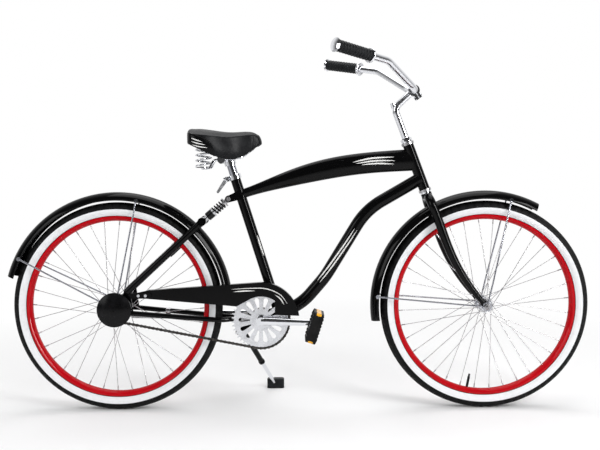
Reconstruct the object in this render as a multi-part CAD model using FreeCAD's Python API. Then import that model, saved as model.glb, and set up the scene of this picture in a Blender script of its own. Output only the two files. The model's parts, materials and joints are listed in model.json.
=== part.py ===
import FreeCAD, Part
import math
import os

V = FreeCAD.Vector

# A beach cruiser with rear suspension. Sizes are in millimetres and degrees.
# X runs forward, Y to the rider's left, Z up; zero is under the rear axle until the last step.

# Layout
wheelbase = 1160.0
lean_angle = 2.0
bracket_height = 290.0
seat_angle = 72.5
seat_line_ahead = 60.0
seat_tube_top = 477.0
head_angle = 69.4
head_behind = 190.5
head_rise = 367.0
head_length = 149.0

# Fits
running_fit = 0.05
seat_fit = 0.1
air_gap = 0.3
overrun = 5.0
cut_reach = 140.0

# Wheels
tyre_radius = 330.0
tyre_width = 54.0
tyre_wall = 3.5
tyre_belly_drop = 24.0
tyre_shoulder_half = 20.5
tyre_shoulder_drop = 7.0
tyre_neck_rise = 0.9
rim_radius = 287.0
rim_width = 37.0
rim_wall = 2.2
rim_side = 6.0
rim_depth = 16.0
tube_section = 20.0
tube_wall = 1.2
tube_crown_gap = 1.3
valve_radius = 4.0
valve_bore = 1.2
valve_reach = 42.0
valve_cap_radius = 3.2
valve_cap_length = 9.0
spoke_count = 36
spoke_radius = 1.0
spoke_crossing_angle = 60.0
spoke_rim_offset = 2.5
spoke_outside_lift = 1.4
spoke_head_radius = 1.9
spoke_head_thickness = 1.2
nipple_radius = 2.0
nipple_length = 13.0
front_valve_angle = 259.0
rear_valve_angle = 43.5

# Hubs and axles
axle_radius = 4.76
flange_thickness = 3.0
flange_hole_inset = 4.0
front_flange_radius = 23.0
front_flange_place = 34.0
front_barrel_radius = 12.5
front_hub_end = 43.0
front_hub_end_radius = 14.5
rear_flange_radius = 34.0
rear_flange_place = 28.0
rear_barrel_radius = 22.0
rear_hub_end = 37.0
rear_hub_end_radius = 24.0
hub_bore = 10.4
hub_core_bore = 6.0
cone_radius = 6.3
cone_inset = 14.0
locknut_radius = 9.0
locknut_thickness = 4.0
hub_ball_radius = 1.9
hub_ball_circle = 8.35
hub_ball_count = 10
hub_ball_inset = 4.0
front_over_nuts = 100.0
rear_over_nuts = 112.0
dropout_thickness = 5.0
stay_eye_thickness = 2.4
axle_nut_radius = 9.5
axle_nut_height = 9.0
washer_radius = 10.5
washer_thickness = 1.6
axle_free_end = 10.0
axle_end_radius = 4.4
axle_relief_radius = 4.0
axle_relief = 1.2

# Frame tubes
head_tube_radius = 17.0
head_tube_bore = 15.0
seat_tube_radius = 15.9
seat_bore_depth = 270.0
down_tube_radius = 20.0
down_tube_head_rise = 36.0
down_tube_run_shares = ((0.659, 0.7755), (0.401, 0.2948), (0.2425, 0.0862))
down_tube_bends = (220.0, 300.0, 180.0)
tank_rear_rise = 392.0
tank_front_rise = 92.0
tank_bow = 26.0
tank_half_height = 34.0
tank_half_width = 21.0
tank_run_shares = (0.0, 0.2, 0.36, 0.53, 0.72, 1.0)
tank_height_shares = (0.46, 0.65, 0.87, 0.97, 0.98, 1.0)
tank_width_shares = (0.7, 0.84, 0.95, 1.0, 1.0, 0.76)
shell_radius = 29.0
shell_bore = 25.6
shell_length = 68.0

# Suspension
pivot_behind = 50.0
pivot_radius = 14.0
pivot_bolt_radius = 8.0
pivot_half_width = 24.0
lug_thickness = 7.0
lug_root_share = 0.8
pivot_head_radius = 13.0
pivot_head_thickness = 4.0
shock_eye_behind = 100.8
shock_eye_rise = 379.0
shock_slope = 40.3
shock_length = 106.0
shock_eye_radius = 11.0
shock_eye_half = 12.0
shock_bolt_radius = 4.0
shock_neck_radius = 8.0
shock_seat_radius = 15.5
shock_seat_thickness = 3.5
shock_seat_reach = 15.0
shock_rod_radius = 5.0
shock_rod_reach = 66.0
shock_rod_room = 0.5
shock_body_radius = 14.0
shock_body_bevel = 2.0
shock_body_start = 17.0
shock_body_end = 40.0
shock_collar_thickness = 4.0
shock_sleeve_radius = 8.0
shock_sleeve_end = 62.0
shock_bore_floor = 15.0
shock_coil_radius = 12.4
shock_wire_radius = 2.4
shock_turns = 4.0
bracket_plate_thickness = 5.0
bracket_foot_low = 1.0
bracket_foot_high = 27.0

# Swingarm
chainstay_radius = 8.0
chainstay_root_half = 12.0
chainstay_waist_ahead = 30.0
chainstay_waist_half = 14.0
chainstay_flare_behind = 127.8
chainstay_flare_half = 41.0
chainstay_end_x = 48.0
chainstay_end_drop = 14.0
chainstay_bends = (40.0, 60.0)
seatstay_radius = 11.0
seatstay_foot_x = 38.0
seatstay_foot_rise = 55.0
seatstay_foot_half = 62.0
seatstay_top_half = 47.0
seatstay_lug_radius = 13.0
yoke_radius = 9.0
dropout_radius = 19.0
dropout_slot = 5.2
dropout_slot_length = 20.0

# Fork
fork_straight = 172.0
fork_half = 54.0
crown_drop = 27.0
crown_tube_radius = 14.0
crown_bend = 34.0
crown_leg_drop = 64.0
blade_tip_radius = 7.5
blade_tip_share = 0.93
blade_radius_shares = (1.0, 1.0, 0.94, 0.84, 0.70)
blade_arc_shares = (0.25, 0.5, 0.75)
steerer_radius = 12.7
steerer_bore = 11.15
steerer_above = 22.0
fork_tab_radius = 13.0

# Headset
cup_flange_radius = 20.0
cup_flange_height = 8.0
cup_wall = 1.4
cup_insert = 12.0
cup_floor = 4.1
race_radius = 17.0
race_height = 4.6
headset_ball_radius = 1.9
headset_ball_circle = 15.2
headset_ball_count = 20
headset_ball_inset = 6.2
headset_nut_radius = 18.0
headset_nut_height = 7.0

# Stem, handlebar and grips
quill_radius = 11.05
quill_depth = 70.0
stem_corner_rise = 122.0
clamp_ahead = 15.7
clamp_rise = 168.7
stem_bend = 26.0
clamp_radius = 18.0
clamp_half = 21.0
clamp_ear = 13.0
clamp_ear_half = 9.0
clamp_ear_share = 0.6
clamp_slit = 3.0
clamp_ear_turn = 38.0
expander_boss = 9.0
clamp_bolt_radius = 3.5
clamp_bolt_head = 6.5
expander_bolt_radius = 4.0
expander_head_radius = 8.0
expander_head_height = 6.0
wedge_length = 26.0
bar_radius = 11.1
bar_centre_half = 52.0
bar_rise_back = 94.8
bar_rise_half = 171.0
bar_rise_up = 75.8
bar_end_back = 254.3
bar_end_half = 298.0
bar_end_up = 108.1
bar_bends = (70.0, 60.0)
grip_length = 128.0
grip_radius = 16.0
grip_rib = 1.6
grip_ribs = 11
grip_cap_radius = 21.0
grip_cap_thickness = 9.0
grip_cap_neck = 5.0
grip_collar_radius = 21.0
grip_collar_thickness = 7.0

# Fenders and their stays
fender_radius = 362.0
fender_edge_radius = 338.0
fender_half_width = 33.0
fender_sheet = 1.4
fender_roll = 1.8
front_fender_angles = (62.0, 188.0)
rear_fender_angles = (3.0, 164.0)
stay_radius = 2.6
stay_eye_radius = 14.0
stay_root = 11.2
stay_knee = 70.0
stay_bend = 40.0
fender_bolt_radius = 5.0
stay_pad_radius = 6.5
stay_pad_half = 2.0
stay_screw_radius = 3.6
stay_screw_height = 2.4
front_stay_angles = (77.0, 175.0)
rear_stay_angles = (79.0, 153.0)

# Drive
chain_pitch = 12.7
ring_teeth = 44
sprocket_teeth = 20
ring_wrap = 23
sprocket_wrap = 9
span_pitches = 36
chain_line = 46.0
roller_radius = 3.9
roller_half = 1.7
roller_bore = 1.9
pin_radius = 1.8
pin_half = 4.5
plate_radius = 4.2
plate_waist = 3.1
plate_thickness = 1.0
inner_plate_face = 1.65
outer_plate_face = 2.75
tooth_seat_radius = 4.15
tooth_seat_angle = 60.0
tooth_tip_half = 0.9
tooth_height = 4.0
ring_thickness = 2.4
ring_bore = 12.1
ring_slots = 14
ring_slot_inner = 37.0
ring_slot_outer = 64.0
ring_slot_inner_radius = 2.5
ring_slot_outer_radius = 7.0
sprocket_bore = 15.05
driver_radius = 15.0
snap_ring_radius = 17.5
snap_ring = 1.2
driver_flange_radius = 20.0
driver_flange = 2.5

# Crank and pedals
crank_length = 165.0
crank_angle = -1.5
spindle_radius = 12.0
spindle_half = 52.0
crank_knee_radius = 13.0
crank_knee_share = 0.8
crank_root_y = 69.0
crank_tip_y = 75.0
crank_half_width_shares = (1.0, 0.95, 0.82, 0.82)
crank_half_width = 12.5
crank_half_thickness = 7.0
crank_run_shares = (0.0, 0.24, 0.7, 1.0)
pedal_boss_radius = 14.0
pedal_boss_half = 7.5
crank_cup_flange = 3.0
crank_cup_radius = 27.5
crank_cup_depth = 10.0
crank_cup_bore = 20.4
crank_ball_radius = 3.1
crank_ball_circle = 17.0
crank_ball_count = 11
crank_cone_radius = 13.7
crank_cone_flange = 19.0
crank_cone_height = 5.0
pedal_axle_radius = 7.0
pedal_axle_length = 88.0
pedal_collar_radius = 9.0
pedal_collar = 5.0
pedal_length = 94.0
pedal_width = 94.0
pedal_height = 30.0
pedal_barrel_radius = 12.0
pedal_wall = 7.0
pedal_rib = 5.0
pedal_corner = 9.0
pedal_pitch = 72.0
reflector_height = 16.0
reflector_depth = 7.5
pedal_tooth = 1.6
pedal_tooth_width = 5.0
pedal_teeth = 6

# Chain guard and rear cover
guard_plane = 54.5
guard_sheet = 1.3
guard_depth = 17.0
guard_front_radius = 120.0
guard_opening_radius = 76.0
guard_flange_start = 100.0
guard_tip_x = 60.0
guard_tip_rise = 41.0
guard_tip_half = 7.0
guard_back_x = 100.0
guard_back_rise = 57.0
guard_belly_rise = 45.0
guard_front_angle = 7.0
guard_spill_angle = 5.0
guard_mouth_angle = 22.0
guard_mouth_radius = 47.0
guard_opening_angles = (55.0, 118.0)
guard_screw_radius = 4.5
guard_screw_head = 2.6
guard_screw_x = (72.0, 94.0)
guard_tab_end = 104.0
guard_tab_half = 9.0
cover_radius = 53.5
cover_plane = 97.0
cover_dome = 12.0
cover_rim = 7.0
cover_wall = 2.4
cover_boss_wall = 2.6
brake_arm_thickness = 4.0
brake_arm_length = 150.0
brake_arm_hub_radius = 15.0
brake_arm_tip_radius = 8.0
brake_arm_knee_x = 40.0
brake_arm_knee_drop = 31.0
brake_strap_width = 14.0
brake_bolt_radius = 3.0
brake_bolt_head = 5.5
brake_bolt_height = 3.0
brake_strap_sheet = 1.6

# Saddle and seatpost
post_radius = 13.6
post_bore = 11.0
post_cap = 20.0
post_below = 230.0
post_above = 62.0
saddle_behind = 140.4
saddle_length = 231.0
saddle_rise = 142.1
saddle_half_width = 108.0
saddle_run_shares = (0.0, 0.06, 0.22, 0.44, 0.66, 0.87, 0.985)
saddle_width_shares = (0.70, 0.93, 1.0, 0.80, 0.46, 0.32, 0.22)
saddle_top_drops = (7.0, 1.0, 2.0, 9.0, 11.0, 9.0, 18.0)
saddle_skirt_drops = (46.0, 51.0, 69.0, 90.0, 92.0, 66.0, 47.0)
saddle_crowns = (10.0, 14.0, 16.0, 14.0, 11.0, 9.0, 7.0)
saddle_tuck_share = 0.93
saddle_brow_share = 0.95
saddle_pad = 22.0
saddle_side = 9.0
pan_sheet = 3.0
rail_radius = 3.5
rail_nose_run = 201.0
rail_nose_half = 6.2
rail_nose_drop = 49.0
rail_neck_run = 187.0
rail_neck_drop = 73.0
rail_knee_run = 163.0
rail_knee_half = 24.0
rail_knee_drop = 89.0
rail_back_run = 79.0
rail_back_half = 25.0
rail_back_drop = 96.0
rail_low_run = 66.0
rail_low_half = 43.0
rail_low_drop = 121.5
rail_bends = (14.0, 14.0, 14.0, 12.0)
nose_tube_radius = 6.5
nose_tube_half = 10.0
nose_pin_radius = 4.0
nose_lug_radius = 7.5
nose_lug_thickness = 4.0
saddle_spring_run = 46.0
saddle_spring_half = 62.0
saddle_spring_drop = 116.0
saddle_spring_height = 70.0
saddle_coil_radius = 18.5
saddle_wire_radius = 2.4
saddle_turns = 4.0
spring_plate_radius = 21.5
spring_plate = 3.0
post_clamp_radius = 18.5
post_clamp_height = 30.0
rail_clamp_run = 102.0
rail_clamp_radius = 12.0
rail_clamp_waist = 9.0
rail_clamp_inner = 17.0
rail_clamp_outer = 33.0
rail_clamp_bolt = 3.0
rail_clamp_nut = 7.0
rail_clamp_nut_height = 6.0
seat_collar_radius = 20.5
seat_collar_height = 15.0
collar_ear_reach = 15.0
collar_ear_thickness = 6.0
collar_slit = 2.4
skewer_radius = 2.6
skewer_eye_radius = 5.0
skewer_eye_thickness = 5.0
skewer_nut_radius = 7.0
skewer_nut_height = 5.0
lever_pin_radius = 2.5
lever_length = 46.0
lever_width = 12.0
lever_tip_width = 8.0
lever_thickness = 6.0
lever_hub_radius = 8.0
lever_slope = 56.0

# Kickstand
stand_behind = 70.8
stand_half = 40.0
stand_drop = 34.0
stand_foot_ahead = 39.2
stand_foot_half = 236.0
stand_foot_rise = 9.0
stand_stow = (-0.96, 0.2, -0.196)
stand_boss_radius = 13.0
stand_boss_length = 16.0
stand_boss_room = 2.5
stand_web_share = 0.9
stand_pin_radius = 6.0
stand_eye_radius = 12.0
stand_eye_length = 20.0
stand_leg_radius = 9.0
stand_rod_radius = 6.5
stand_leg_share = 0.60
stand_rod_in = 30.0
stand_clip_radius = 10.5
stand_clip_length = 8.0
stand_foot_length = 58.0
stand_foot_width = 30.0
stand_foot_height = 32.0
stand_foot_corner = 9.0
stand_foot_brow = 4.0

# Points and directions that the pieces share
X_AXIS = V(1, 0, 0)
Y_AXIS = V(0, 1, 0)
Z_AXIS = V(0, 0, 1)
ORIGIN = V(0, 0, 0)


def level(degrees):
    """Unit direction in the bicycle's plane, at an angle above straight ahead."""
    return V(math.cos(math.radians(degrees)), 0, math.sin(math.radians(degrees)))


ring_step = 2 * math.pi / ring_teeth
sprocket_step = 2 * math.pi / sprocket_teeth
ring_pitch_radius = chain_pitch / 2 / math.sin(ring_step / 2)
sprocket_pitch_radius = chain_pitch / 2 / math.sin(sprocket_step / 2)
ring_leave = math.pi - ring_wrap * ring_step / 2
sprocket_leave = sprocket_wrap * sprocket_step / 2
span_rise = ring_pitch_radius * math.sin(ring_leave) - sprocket_pitch_radius * math.sin(sprocket_leave)
span_shift = sprocket_pitch_radius * math.cos(sprocket_leave) - ring_pitch_radius * math.cos(ring_leave)
drive_length = math.sqrt((span_pitches * chain_pitch) ** 2 - span_rise ** 2) - span_shift

rear_axle = V(0, 0, tyre_radius)
front_axle = V(wheelbase, 0, tyre_radius)
bracket = V(math.sqrt(drive_length ** 2 - (tyre_radius - bracket_height) ** 2), 0, bracket_height)
drive_slope = math.degrees(math.atan2(bracket.z - rear_axle.z, bracket.x - rear_axle.x))

seat_up = level(180 - seat_angle)
seat_foot = bracket + X_AXIS * seat_line_ahead
seat_top = seat_foot + seat_up * seat_tube_top
head_up = level(180 - head_angle)
head_low = front_axle + V(-head_behind, 0, head_rise)
head_top = head_low + head_up * head_length
stem_corner = head_top + head_up * stem_corner_rise
bar_clamp = head_top + V(clamp_ahead, 0, clamp_rise)
swing_pivot = bracket - X_AXIS * pivot_behind
shock_top = bracket + V(-shock_eye_behind, 0, shock_eye_rise)
shock_down = level(180 + shock_slope)
shock_low = shock_top + shock_down * shock_length
saddle_x = seat_top.x - saddle_behind
saddle_top = seat_top.z + saddle_rise
stand_pivot = bracket + V(-stand_behind, stand_half, -stand_drop)
stand_foot_x = bracket.x + stand_foot_ahead
lean_turn = FreeCAD.Rotation(X_AXIS, -lean_angle)
tyre_crown = (tyre_shoulder_half ** 2 + tyre_shoulder_drop ** 2) / (2 * tyre_shoulder_drop)
tyre_crown_centre = tyre_radius - tyre_crown
stand_foot = lean_turn.inverted().multVec(V(stand_foot_x, stand_foot_half, stand_foot_rise))
ground = (tyre_radius - tyre_crown_centre) * (math.cos(math.radians(lean_angle)) - 1)
stand_down = (stand_foot - stand_pivot).normalize()
stand_reach = (stand_foot - stand_pivot).Length
stand_back = V(*stand_stow).normalize()
stand_axis = stand_down.cross(stand_back).normalize()
seat_collar_middle = seat_top - seat_up * (seat_collar_height / 2)


def under_saddle(run, half, drop):
    """A point ahead of the saddle's rear, to the left of its middle and below its top."""
    return V(saddle_x + run, half, saddle_top - drop)


rail_nose = under_saddle(rail_nose_run, 0, rail_nose_drop)
spring_foot = under_saddle(saddle_spring_run, saddle_spring_half, saddle_spring_drop)


def on_line(point, direction, height):
    """Where a line through a point reaches a height."""
    return point + direction * ((height - point.z) / direction.z)


def mirrored(shape):
    """The same shape on the other side of the bicycle's middle plane."""
    return shape.mirror(ORIGIN, Y_AXIS)


def joined(shapes):
    """One solid from shapes that overlap."""
    first = shapes[0]
    return first.fuse(shapes[1:]).removeSplitter()


def line(start, end):
    return Part.LineSegment(start, end).toShape()


def cylinder(start, end, radius):
    return Part.makeCylinder(radius, (end - start).Length, start, end - start)


def tube(start, end, radius, bore):
    return cylinder(start, end, radius).cut(cylinder(start, end, bore))


def across(centre, low, high, radius):
    """A cylinder along Y, between two places across the bicycle."""
    return cylinder(centre + Y_AXIS * low, centre + Y_AXIS * high, radius)


def outline(items, place):
    """A closed wire through points; a pair of points is an arc through the first to the second."""
    edges = []
    last = place(*items[0])
    for item in items[1:] + items[:1]:
        if isinstance(item[0], tuple):
            end = place(*item[1])
            edges.append(Part.Arc(last, place(*item[0]), end).toShape())
        else:
            end = place(*item)
            if not end.isEqual(last, running_fit / overrun):
                edges.append(line(last, end))
        last = end
    return Part.Wire(edges)


def turned(items, origin, axis):
    """A lathe-turned solid: items are places along the axis and radii."""
    face = Part.Face(outline(items, lambda place, radius: V(radius, 0, place)))
    solid = face.revolve(ORIGIN, Z_AXIS, 360)
    solid.Placement = FreeCAD.Placement(origin, FreeCAD.Rotation(Z_AXIS, axis))
    return solid


def plate(items, near, far):
    """A flat plate in the bicycle's plane: items are X and Z, cut between two places across."""
    face = Part.Face(outline(items, lambda x, z: V(x, near, z)))
    return face.extrude(Y_AXIS * (far - near))


def bent_path(points, radii):
    """Straight runs joined by tangent arcs."""
    edges = []
    last = points[0]
    for before, corner, after, radius in zip(points, points[1:], points[2:], radii):
        back = (before - corner).normalize()
        ahead = (after - corner).normalize()
        half = back.getAngle(ahead) / 2
        inward = (back + ahead).normalize()
        start = corner + back * (radius / math.tan(half))
        end = corner + ahead * (radius / math.tan(half))
        middle = corner + inward * (radius / math.sin(half) - radius)
        edges.append(line(last, start))
        edges.append(Part.Arc(start, middle, end).toShape())
        last = end
    edges.append(line(last, points[-1]))
    return Part.Wire(edges)


def swept(path, radius):
    """A round bar along a path."""
    first = path.Edges[0]
    start = first.valueAt(first.FirstParameter)
    circle = Part.Circle(start, first.tangentAt(first.FirstParameter), radius)
    return path.makePipeShell([Part.Wire([circle.toShape()])], True, False)


def rod(points, radii, radius):
    return swept(bent_path(points, radii), radius)


def upright_edges(block):
    """The edges of a block that run straight up."""
    ways = [(edge, edge.tangentAt(edge.FirstParameter)) for edge in block.Edges]
    return [edge for edge, way in ways if abs(way.z) > abs(way.x) + abs(way.y)]


def round_section(point, direction, radius):
    return Part.Wire([Part.Circle(point, direction, radius).toShape()])


def hexagon(start, end, radius):
    """A hexagonal bar between two points."""
    corners = [V(radius * math.cos(k * math.pi / 3), radius * math.sin(k * math.pi / 3),
                 0) for k in range(6)]
    face = Part.Face(Part.makePolygon(corners + corners[:1]))
    solid = face.extrude(Z_AXIS * (end - start).Length)
    solid.Placement = FreeCAD.Placement(start, FreeCAD.Rotation(Z_AXIS, end - start))
    return solid


def ball_ring(centre, axis, circle, radius, count):
    """Bearing balls spaced round an axis."""
    ball = Part.makeSphere(radius, V(circle, 0, 0))
    place = FreeCAD.Placement(centre, FreeCAD.Rotation(Z_AXIS, axis))
    balls = []
    for k in range(count):
        copy = ball.copy()
        copy.rotate(ORIGIN, Z_AXIS, 360 * k / count)
        copy.Placement = place.multiply(copy.Placement)
        balls.append(copy)
    return balls


def biarc(start, start_way, end, end_way):
    """Two arcs that leave one point and reach another along given directions."""
    chord = end - start
    ways = start_way + end_way
    spread = 2 * (1 - start_way.dot(end_way))
    along = chord.dot(ways)
    reach = (math.sqrt(along ** 2 + spread * chord.dot(chord)) - along) / spread
    first = start + start_way * reach
    second = end - end_way * reach
    joint = (first + second) * 0.5
    arcs = []
    for here, corner, there in ((start, first, joint), (joint, second, end)):
        middle = (here + there) * 0.5
        half = (there - here).Length / 2
        angle = math.acos(min(1, half / reach))
        bulge = half * math.tan(angle / 2)
        arcs.append(Part.Arc(here, middle + (corner - middle).normalize() * bulge, there).toShape())
    return arcs


def coil(start, end, coil_radius, wire_radius, turns):
    """A coil spring as one unbroken wire, with the least gap between its turns."""
    place = FreeCAD.Placement(start, FreeCAD.Rotation(Z_AXIS, end - start))
    rise = ((end - start).Length - 2 * wire_radius) / turns
    quarters = int(4 * turns)

    def point(k):
        angle = k * math.pi / 2
        return V(coil_radius * math.cos(angle), coil_radius * math.sin(angle), wire_radius + rise * k / 4)

    def way(k):
        angle = k * math.pi / 2
        climb = rise / (2 * math.pi)
        return V(-coil_radius * math.sin(angle), coil_radius * math.cos(angle), climb).normalize()

    edges = []
    for k in range(quarters):
        edges += biarc(point(k), way(k), point(k + 1), way(k + 1))
    wire = swept(Part.Wire(edges), wire_radius)
    wire.Placement = place
    return wire, rise - 2 * wire_radius


# Wheels

def rim_channel():
    """The rim's section turned about the axle: a rounded channel with straight sides."""
    half = rim_width / 2
    inside = half - rim_wall
    knee = rim_radius - rim_side
    floor = rim_radius - rim_depth
    return turned([(-half, rim_radius), (-half, knee), ((0, floor), (half, knee)), (half, rim_radius),
                   (inside, rim_radius), (inside, knee + rim_wall / 2),
                   ((0, floor + rim_wall), (-inside, knee + rim_wall / 2)), (-inside, rim_radius)],
                  ORIGIN, Y_AXIS)


def tyre():
    """A balloon tyre seated between the rim's sides, open towards the rim."""
    bead = rim_width / 2 - rim_wall - seat_fit
    foot = rim_radius - rim_side + rim_wall / 2 + air_gap
    neck = rim_radius + tyre_neck_rise
    belly = tyre_radius - tyre_belly_drop
    shoulder = tyre_radius - tyre_shoulder_drop
    wide = tyre_width / 2
    outer = tyre_shoulder_half
    inner = outer - tyre_wall
    return turned([(-bead, foot), (-bead, neck), ((-wide, belly), (-outer, shoulder)),
                   ((0, tyre_radius), (outer, shoulder)), ((wide, belly), (bead, neck)), (bead, foot),
                   (bead - tyre_wall, foot), (bead - tyre_wall, neck),
                   ((wide - tyre_wall, belly), (inner, shoulder - tyre_wall)),
                   ((0, tyre_radius - tyre_wall), (-inner, shoulder - tyre_wall)),
                   ((-wide + tyre_wall, belly), (-bead + tyre_wall, neck)), (-bead + tyre_wall, foot)],
                  ORIGIN, Y_AXIS)


def inner_tube(angle):
    """The air tube with its valve, whose bore opens into the air space."""
    ring = tyre_radius - tyre_wall - tube_crown_gap - tube_section
    way = level(angle)
    stem_top = way * (ring - tube_section + tube_wall)
    stem_end = way * (rim_radius - rim_depth - valve_reach)
    cap_top = stem_end + way * valve_cap_length
    body = Part.makeTorus(ring, tube_section, ORIGIN, Y_AXIS)
    air = Part.makeTorus(ring, tube_section - tube_wall, ORIGIN, Y_AXIS)
    stem = cylinder(way * ring, cap_top, valve_radius)
    cap = cylinder(cap_top, stem_end, valve_cap_radius)
    bore = cylinder(way * ring, stem_end - way * overrun, valve_bore)
    return joined([body, stem, cap]).cut(air).cut(bore)


def spokes(flange_radius, flange_place, first_angle):
    """Crossed spokes with nipples, elbows and heads, alternating inside and outside each flange."""
    hole = flange_radius - flange_hole_inset
    rim_end = rim_radius - rim_depth - air_gap
    face = flange_thickness / 2 + spoke_radius + seat_fit
    pair = 720 / spoke_count
    wires = []
    for flank in (1, -1):
        for kind in (1, -1):
            hub_angle = first_angle + (0 if flank > 0 else pair / 2) + (0 if kind > 0 else pair)
            middle = V(0, flank * flange_place, 0)
            stand_off = face + (spoke_outside_lift if kind > 0 else 0)
            elbow = level(hub_angle) * hole + middle + Y_AXIS * (kind * flank * stand_off)
            rim_way = level(hub_angle + kind * spoke_crossing_angle)
            end = rim_way * rim_end + Y_AXIS * (flank * spoke_rim_offset)
            way = (end - elbow).normalize()
            inward = Y_AXIS * (-kind * flank)
            head = level(hub_angle) * hole + middle + inward * (flange_thickness / 2 + seat_fit)
            wire = joined([cylinder(elbow, end, spoke_radius), Part.makeSphere(spoke_radius, elbow),
                           cylinder(elbow, head + inward * spoke_head_thickness, spoke_radius),
                           cylinder(head, head + inward * spoke_head_thickness, spoke_head_radius),
                           cylinder(end - way * nipple_length, end, nipple_radius)])
            for k in range(spoke_count // 4):
                copy = wire.copy()
                copy.rotate(ORIGIN, Y_AXIS, 2 * pair * k)
                wires.append(copy)
    return wires


def flange_holes(flange_radius, flange_place, first_angle):
    """The holes that the spokes' elbows pass through."""
    hole = flange_radius - flange_hole_inset
    pair = 720 / spoke_count
    holes = []
    for flank in (1, -1):
        for k in range(spoke_count // 2):
            angle = first_angle + (0 if flank > 0 else pair / 2) + k * pair
            middle = level(angle) * hole + Y_AXIS * (flank * flange_place)
            holes.append(across(middle, -flange_thickness, flange_thickness, spoke_radius + seat_fit))
    return holes


def hub(flange_radius, flange_place, barrel, end_place, end_radius, first_angle):
    """A hub shell with two drilled flanges, a waisted barrel and a bearing seat at each end."""
    out = flange_place + flange_thickness / 2
    shut = flange_place - flange_thickness / 2
    floor = end_place - cone_inset
    half = [(end_place, hub_bore), (end_place, end_radius), (out, end_radius), (out, flange_radius),
            (shut, flange_radius), (shut, end_radius)]
    other = [(-place, radius) for place, radius in reversed(half)]
    bore = hub_core_bore
    well = [(-floor, hub_bore), (-floor, bore), (floor, bore), (floor, hub_bore)]
    shell = turned(half + [((0, barrel), other[0])] + other[1:] + well, ORIGIN, Y_AXIS)
    return shell.cut(flange_holes(flange_radius, flange_place, first_angle))


def hub_balls(end_place):
    rings = []
    for flank in (1, -1):
        middle = Y_AXIS * (flank * (end_place - hub_ball_inset))
        rings += ball_ring(middle, Y_AXIS, hub_ball_circle, hub_ball_radius, hub_ball_count)
    return rings


def axle_set(over_nuts, hub_end):
    """Axle, cones with locknuts, washers and outer nuts, all on one line."""
    inside = over_nuts / 2
    seat = inside + dropout_thickness + stay_eye_thickness + 2 * seat_fit
    nut_end = seat + washer_thickness + axle_nut_height
    end = nut_end + axle_free_end
    bore = axle_radius + running_fit / 2
    half = [(nut_end, axle_radius), (nut_end, axle_relief_radius),
            (nut_end + axle_relief, axle_relief_radius),
            (nut_end + axle_relief, axle_end_radius), (end, axle_end_radius), (end, 0)]
    other = [(-place, radius) for place, radius in reversed(half)]
    solids = [turned(other + half, ORIGIN, Y_AXIS)]
    for flank in (1, -1):
        cone = across(ORIGIN, flank * (hub_end - cone_inset + air_gap),
                      flank * (inside - locknut_thickness), cone_radius)
        lock = hexagon(Y_AXIS * (flank * (inside - locknut_thickness)), Y_AXIS * (flank * inside),
                       locknut_radius)
        washer = across(ORIGIN, flank * seat, flank * (seat + washer_thickness), washer_radius)
        nut = hexagon(Y_AXIS * (flank * (seat + washer_thickness)), Y_AXIS * (flank * nut_end),
                      axle_nut_radius)
        hole = across(ORIGIN, 0, flank * (end + overrun), bore)
        solids += [cone.fuse(lock).cut(hole), washer.cut(hole), nut.cut(hole)]
    return solids


def wheel(angle, flange_radius, flange_place, barrel, hub_end, hub_end_radius):
    """The nodes of one wheel round the origin: tyre, rim, inner tube, spokes, hub."""
    first = angle + 180 / spoke_count
    valve_hole = cylinder(ORIGIN, level(angle) * rim_radius, valve_radius + seat_fit)
    return {"tyre": tyre(), "rim": rim_channel().cut(valve_hole), "inner_tube": inner_tube(angle),
            "spokes": spokes(flange_radius, flange_place, first),
            "hub": [hub(flange_radius, flange_place, barrel, hub_end, hub_end_radius,
                        first)] + hub_balls(hub_end)}


# Frame

def down_tube_bar():
    top = head_low + head_up * down_tube_head_rise
    run = top - bracket
    points = [top]
    points += [bracket + V(run.x * ahead, 0, run.z * up) for ahead, up in down_tube_run_shares]
    return rod(points + [bracket], down_tube_bends, down_tube_radius)


def head_tube():
    return tube(head_low, head_top, head_tube_radius, head_tube_bore)


def head_bar():
    return cylinder(head_low - head_up * overrun, head_top + head_up * overrun, head_tube_radius)


def down_tube():
    shell = across(bracket, -cut_reach, cut_reach, shell_radius)
    return down_tube_bar().cut(head_bar()).cut(shell)


def seat_tube():
    body = cylinder(seat_foot + seat_up * (down_tube_radius / 2), seat_top, seat_tube_radius)
    bore = cylinder(seat_top - seat_up * seat_bore_depth, seat_top + seat_up * overrun,
                    post_radius + running_fit)
    return body.cut(down_tube_bar()).cut(bore)


def top_tube():
    """The tank-shaped tube: ellipses that grow from the seat tube to the head tube."""
    rear = on_line(seat_foot, seat_up, bracket_height + tank_rear_rise)
    front = on_line(head_low, head_up, head_low.z + tank_front_rise)
    sections = []
    for run, height, width in zip(tank_run_shares, tank_height_shares, tank_width_shares):
        middle = rear + (front - rear) * run + Z_AXIS * (tank_bow * math.sin(math.pi * run))
        tall = middle + Z_AXIS * (tank_half_height * height)
        wide = middle + Y_AXIS * (tank_half_width * width)
        sections.append(Part.Wire([Part.Ellipse(tall, wide, middle).toShape()]))
    body = Part.makeLoft(sections, True, False)
    seat_bar = cylinder(seat_foot, seat_top + seat_up * overrun, seat_tube_radius)
    return body.cut(head_bar()).cut(seat_bar)


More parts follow.
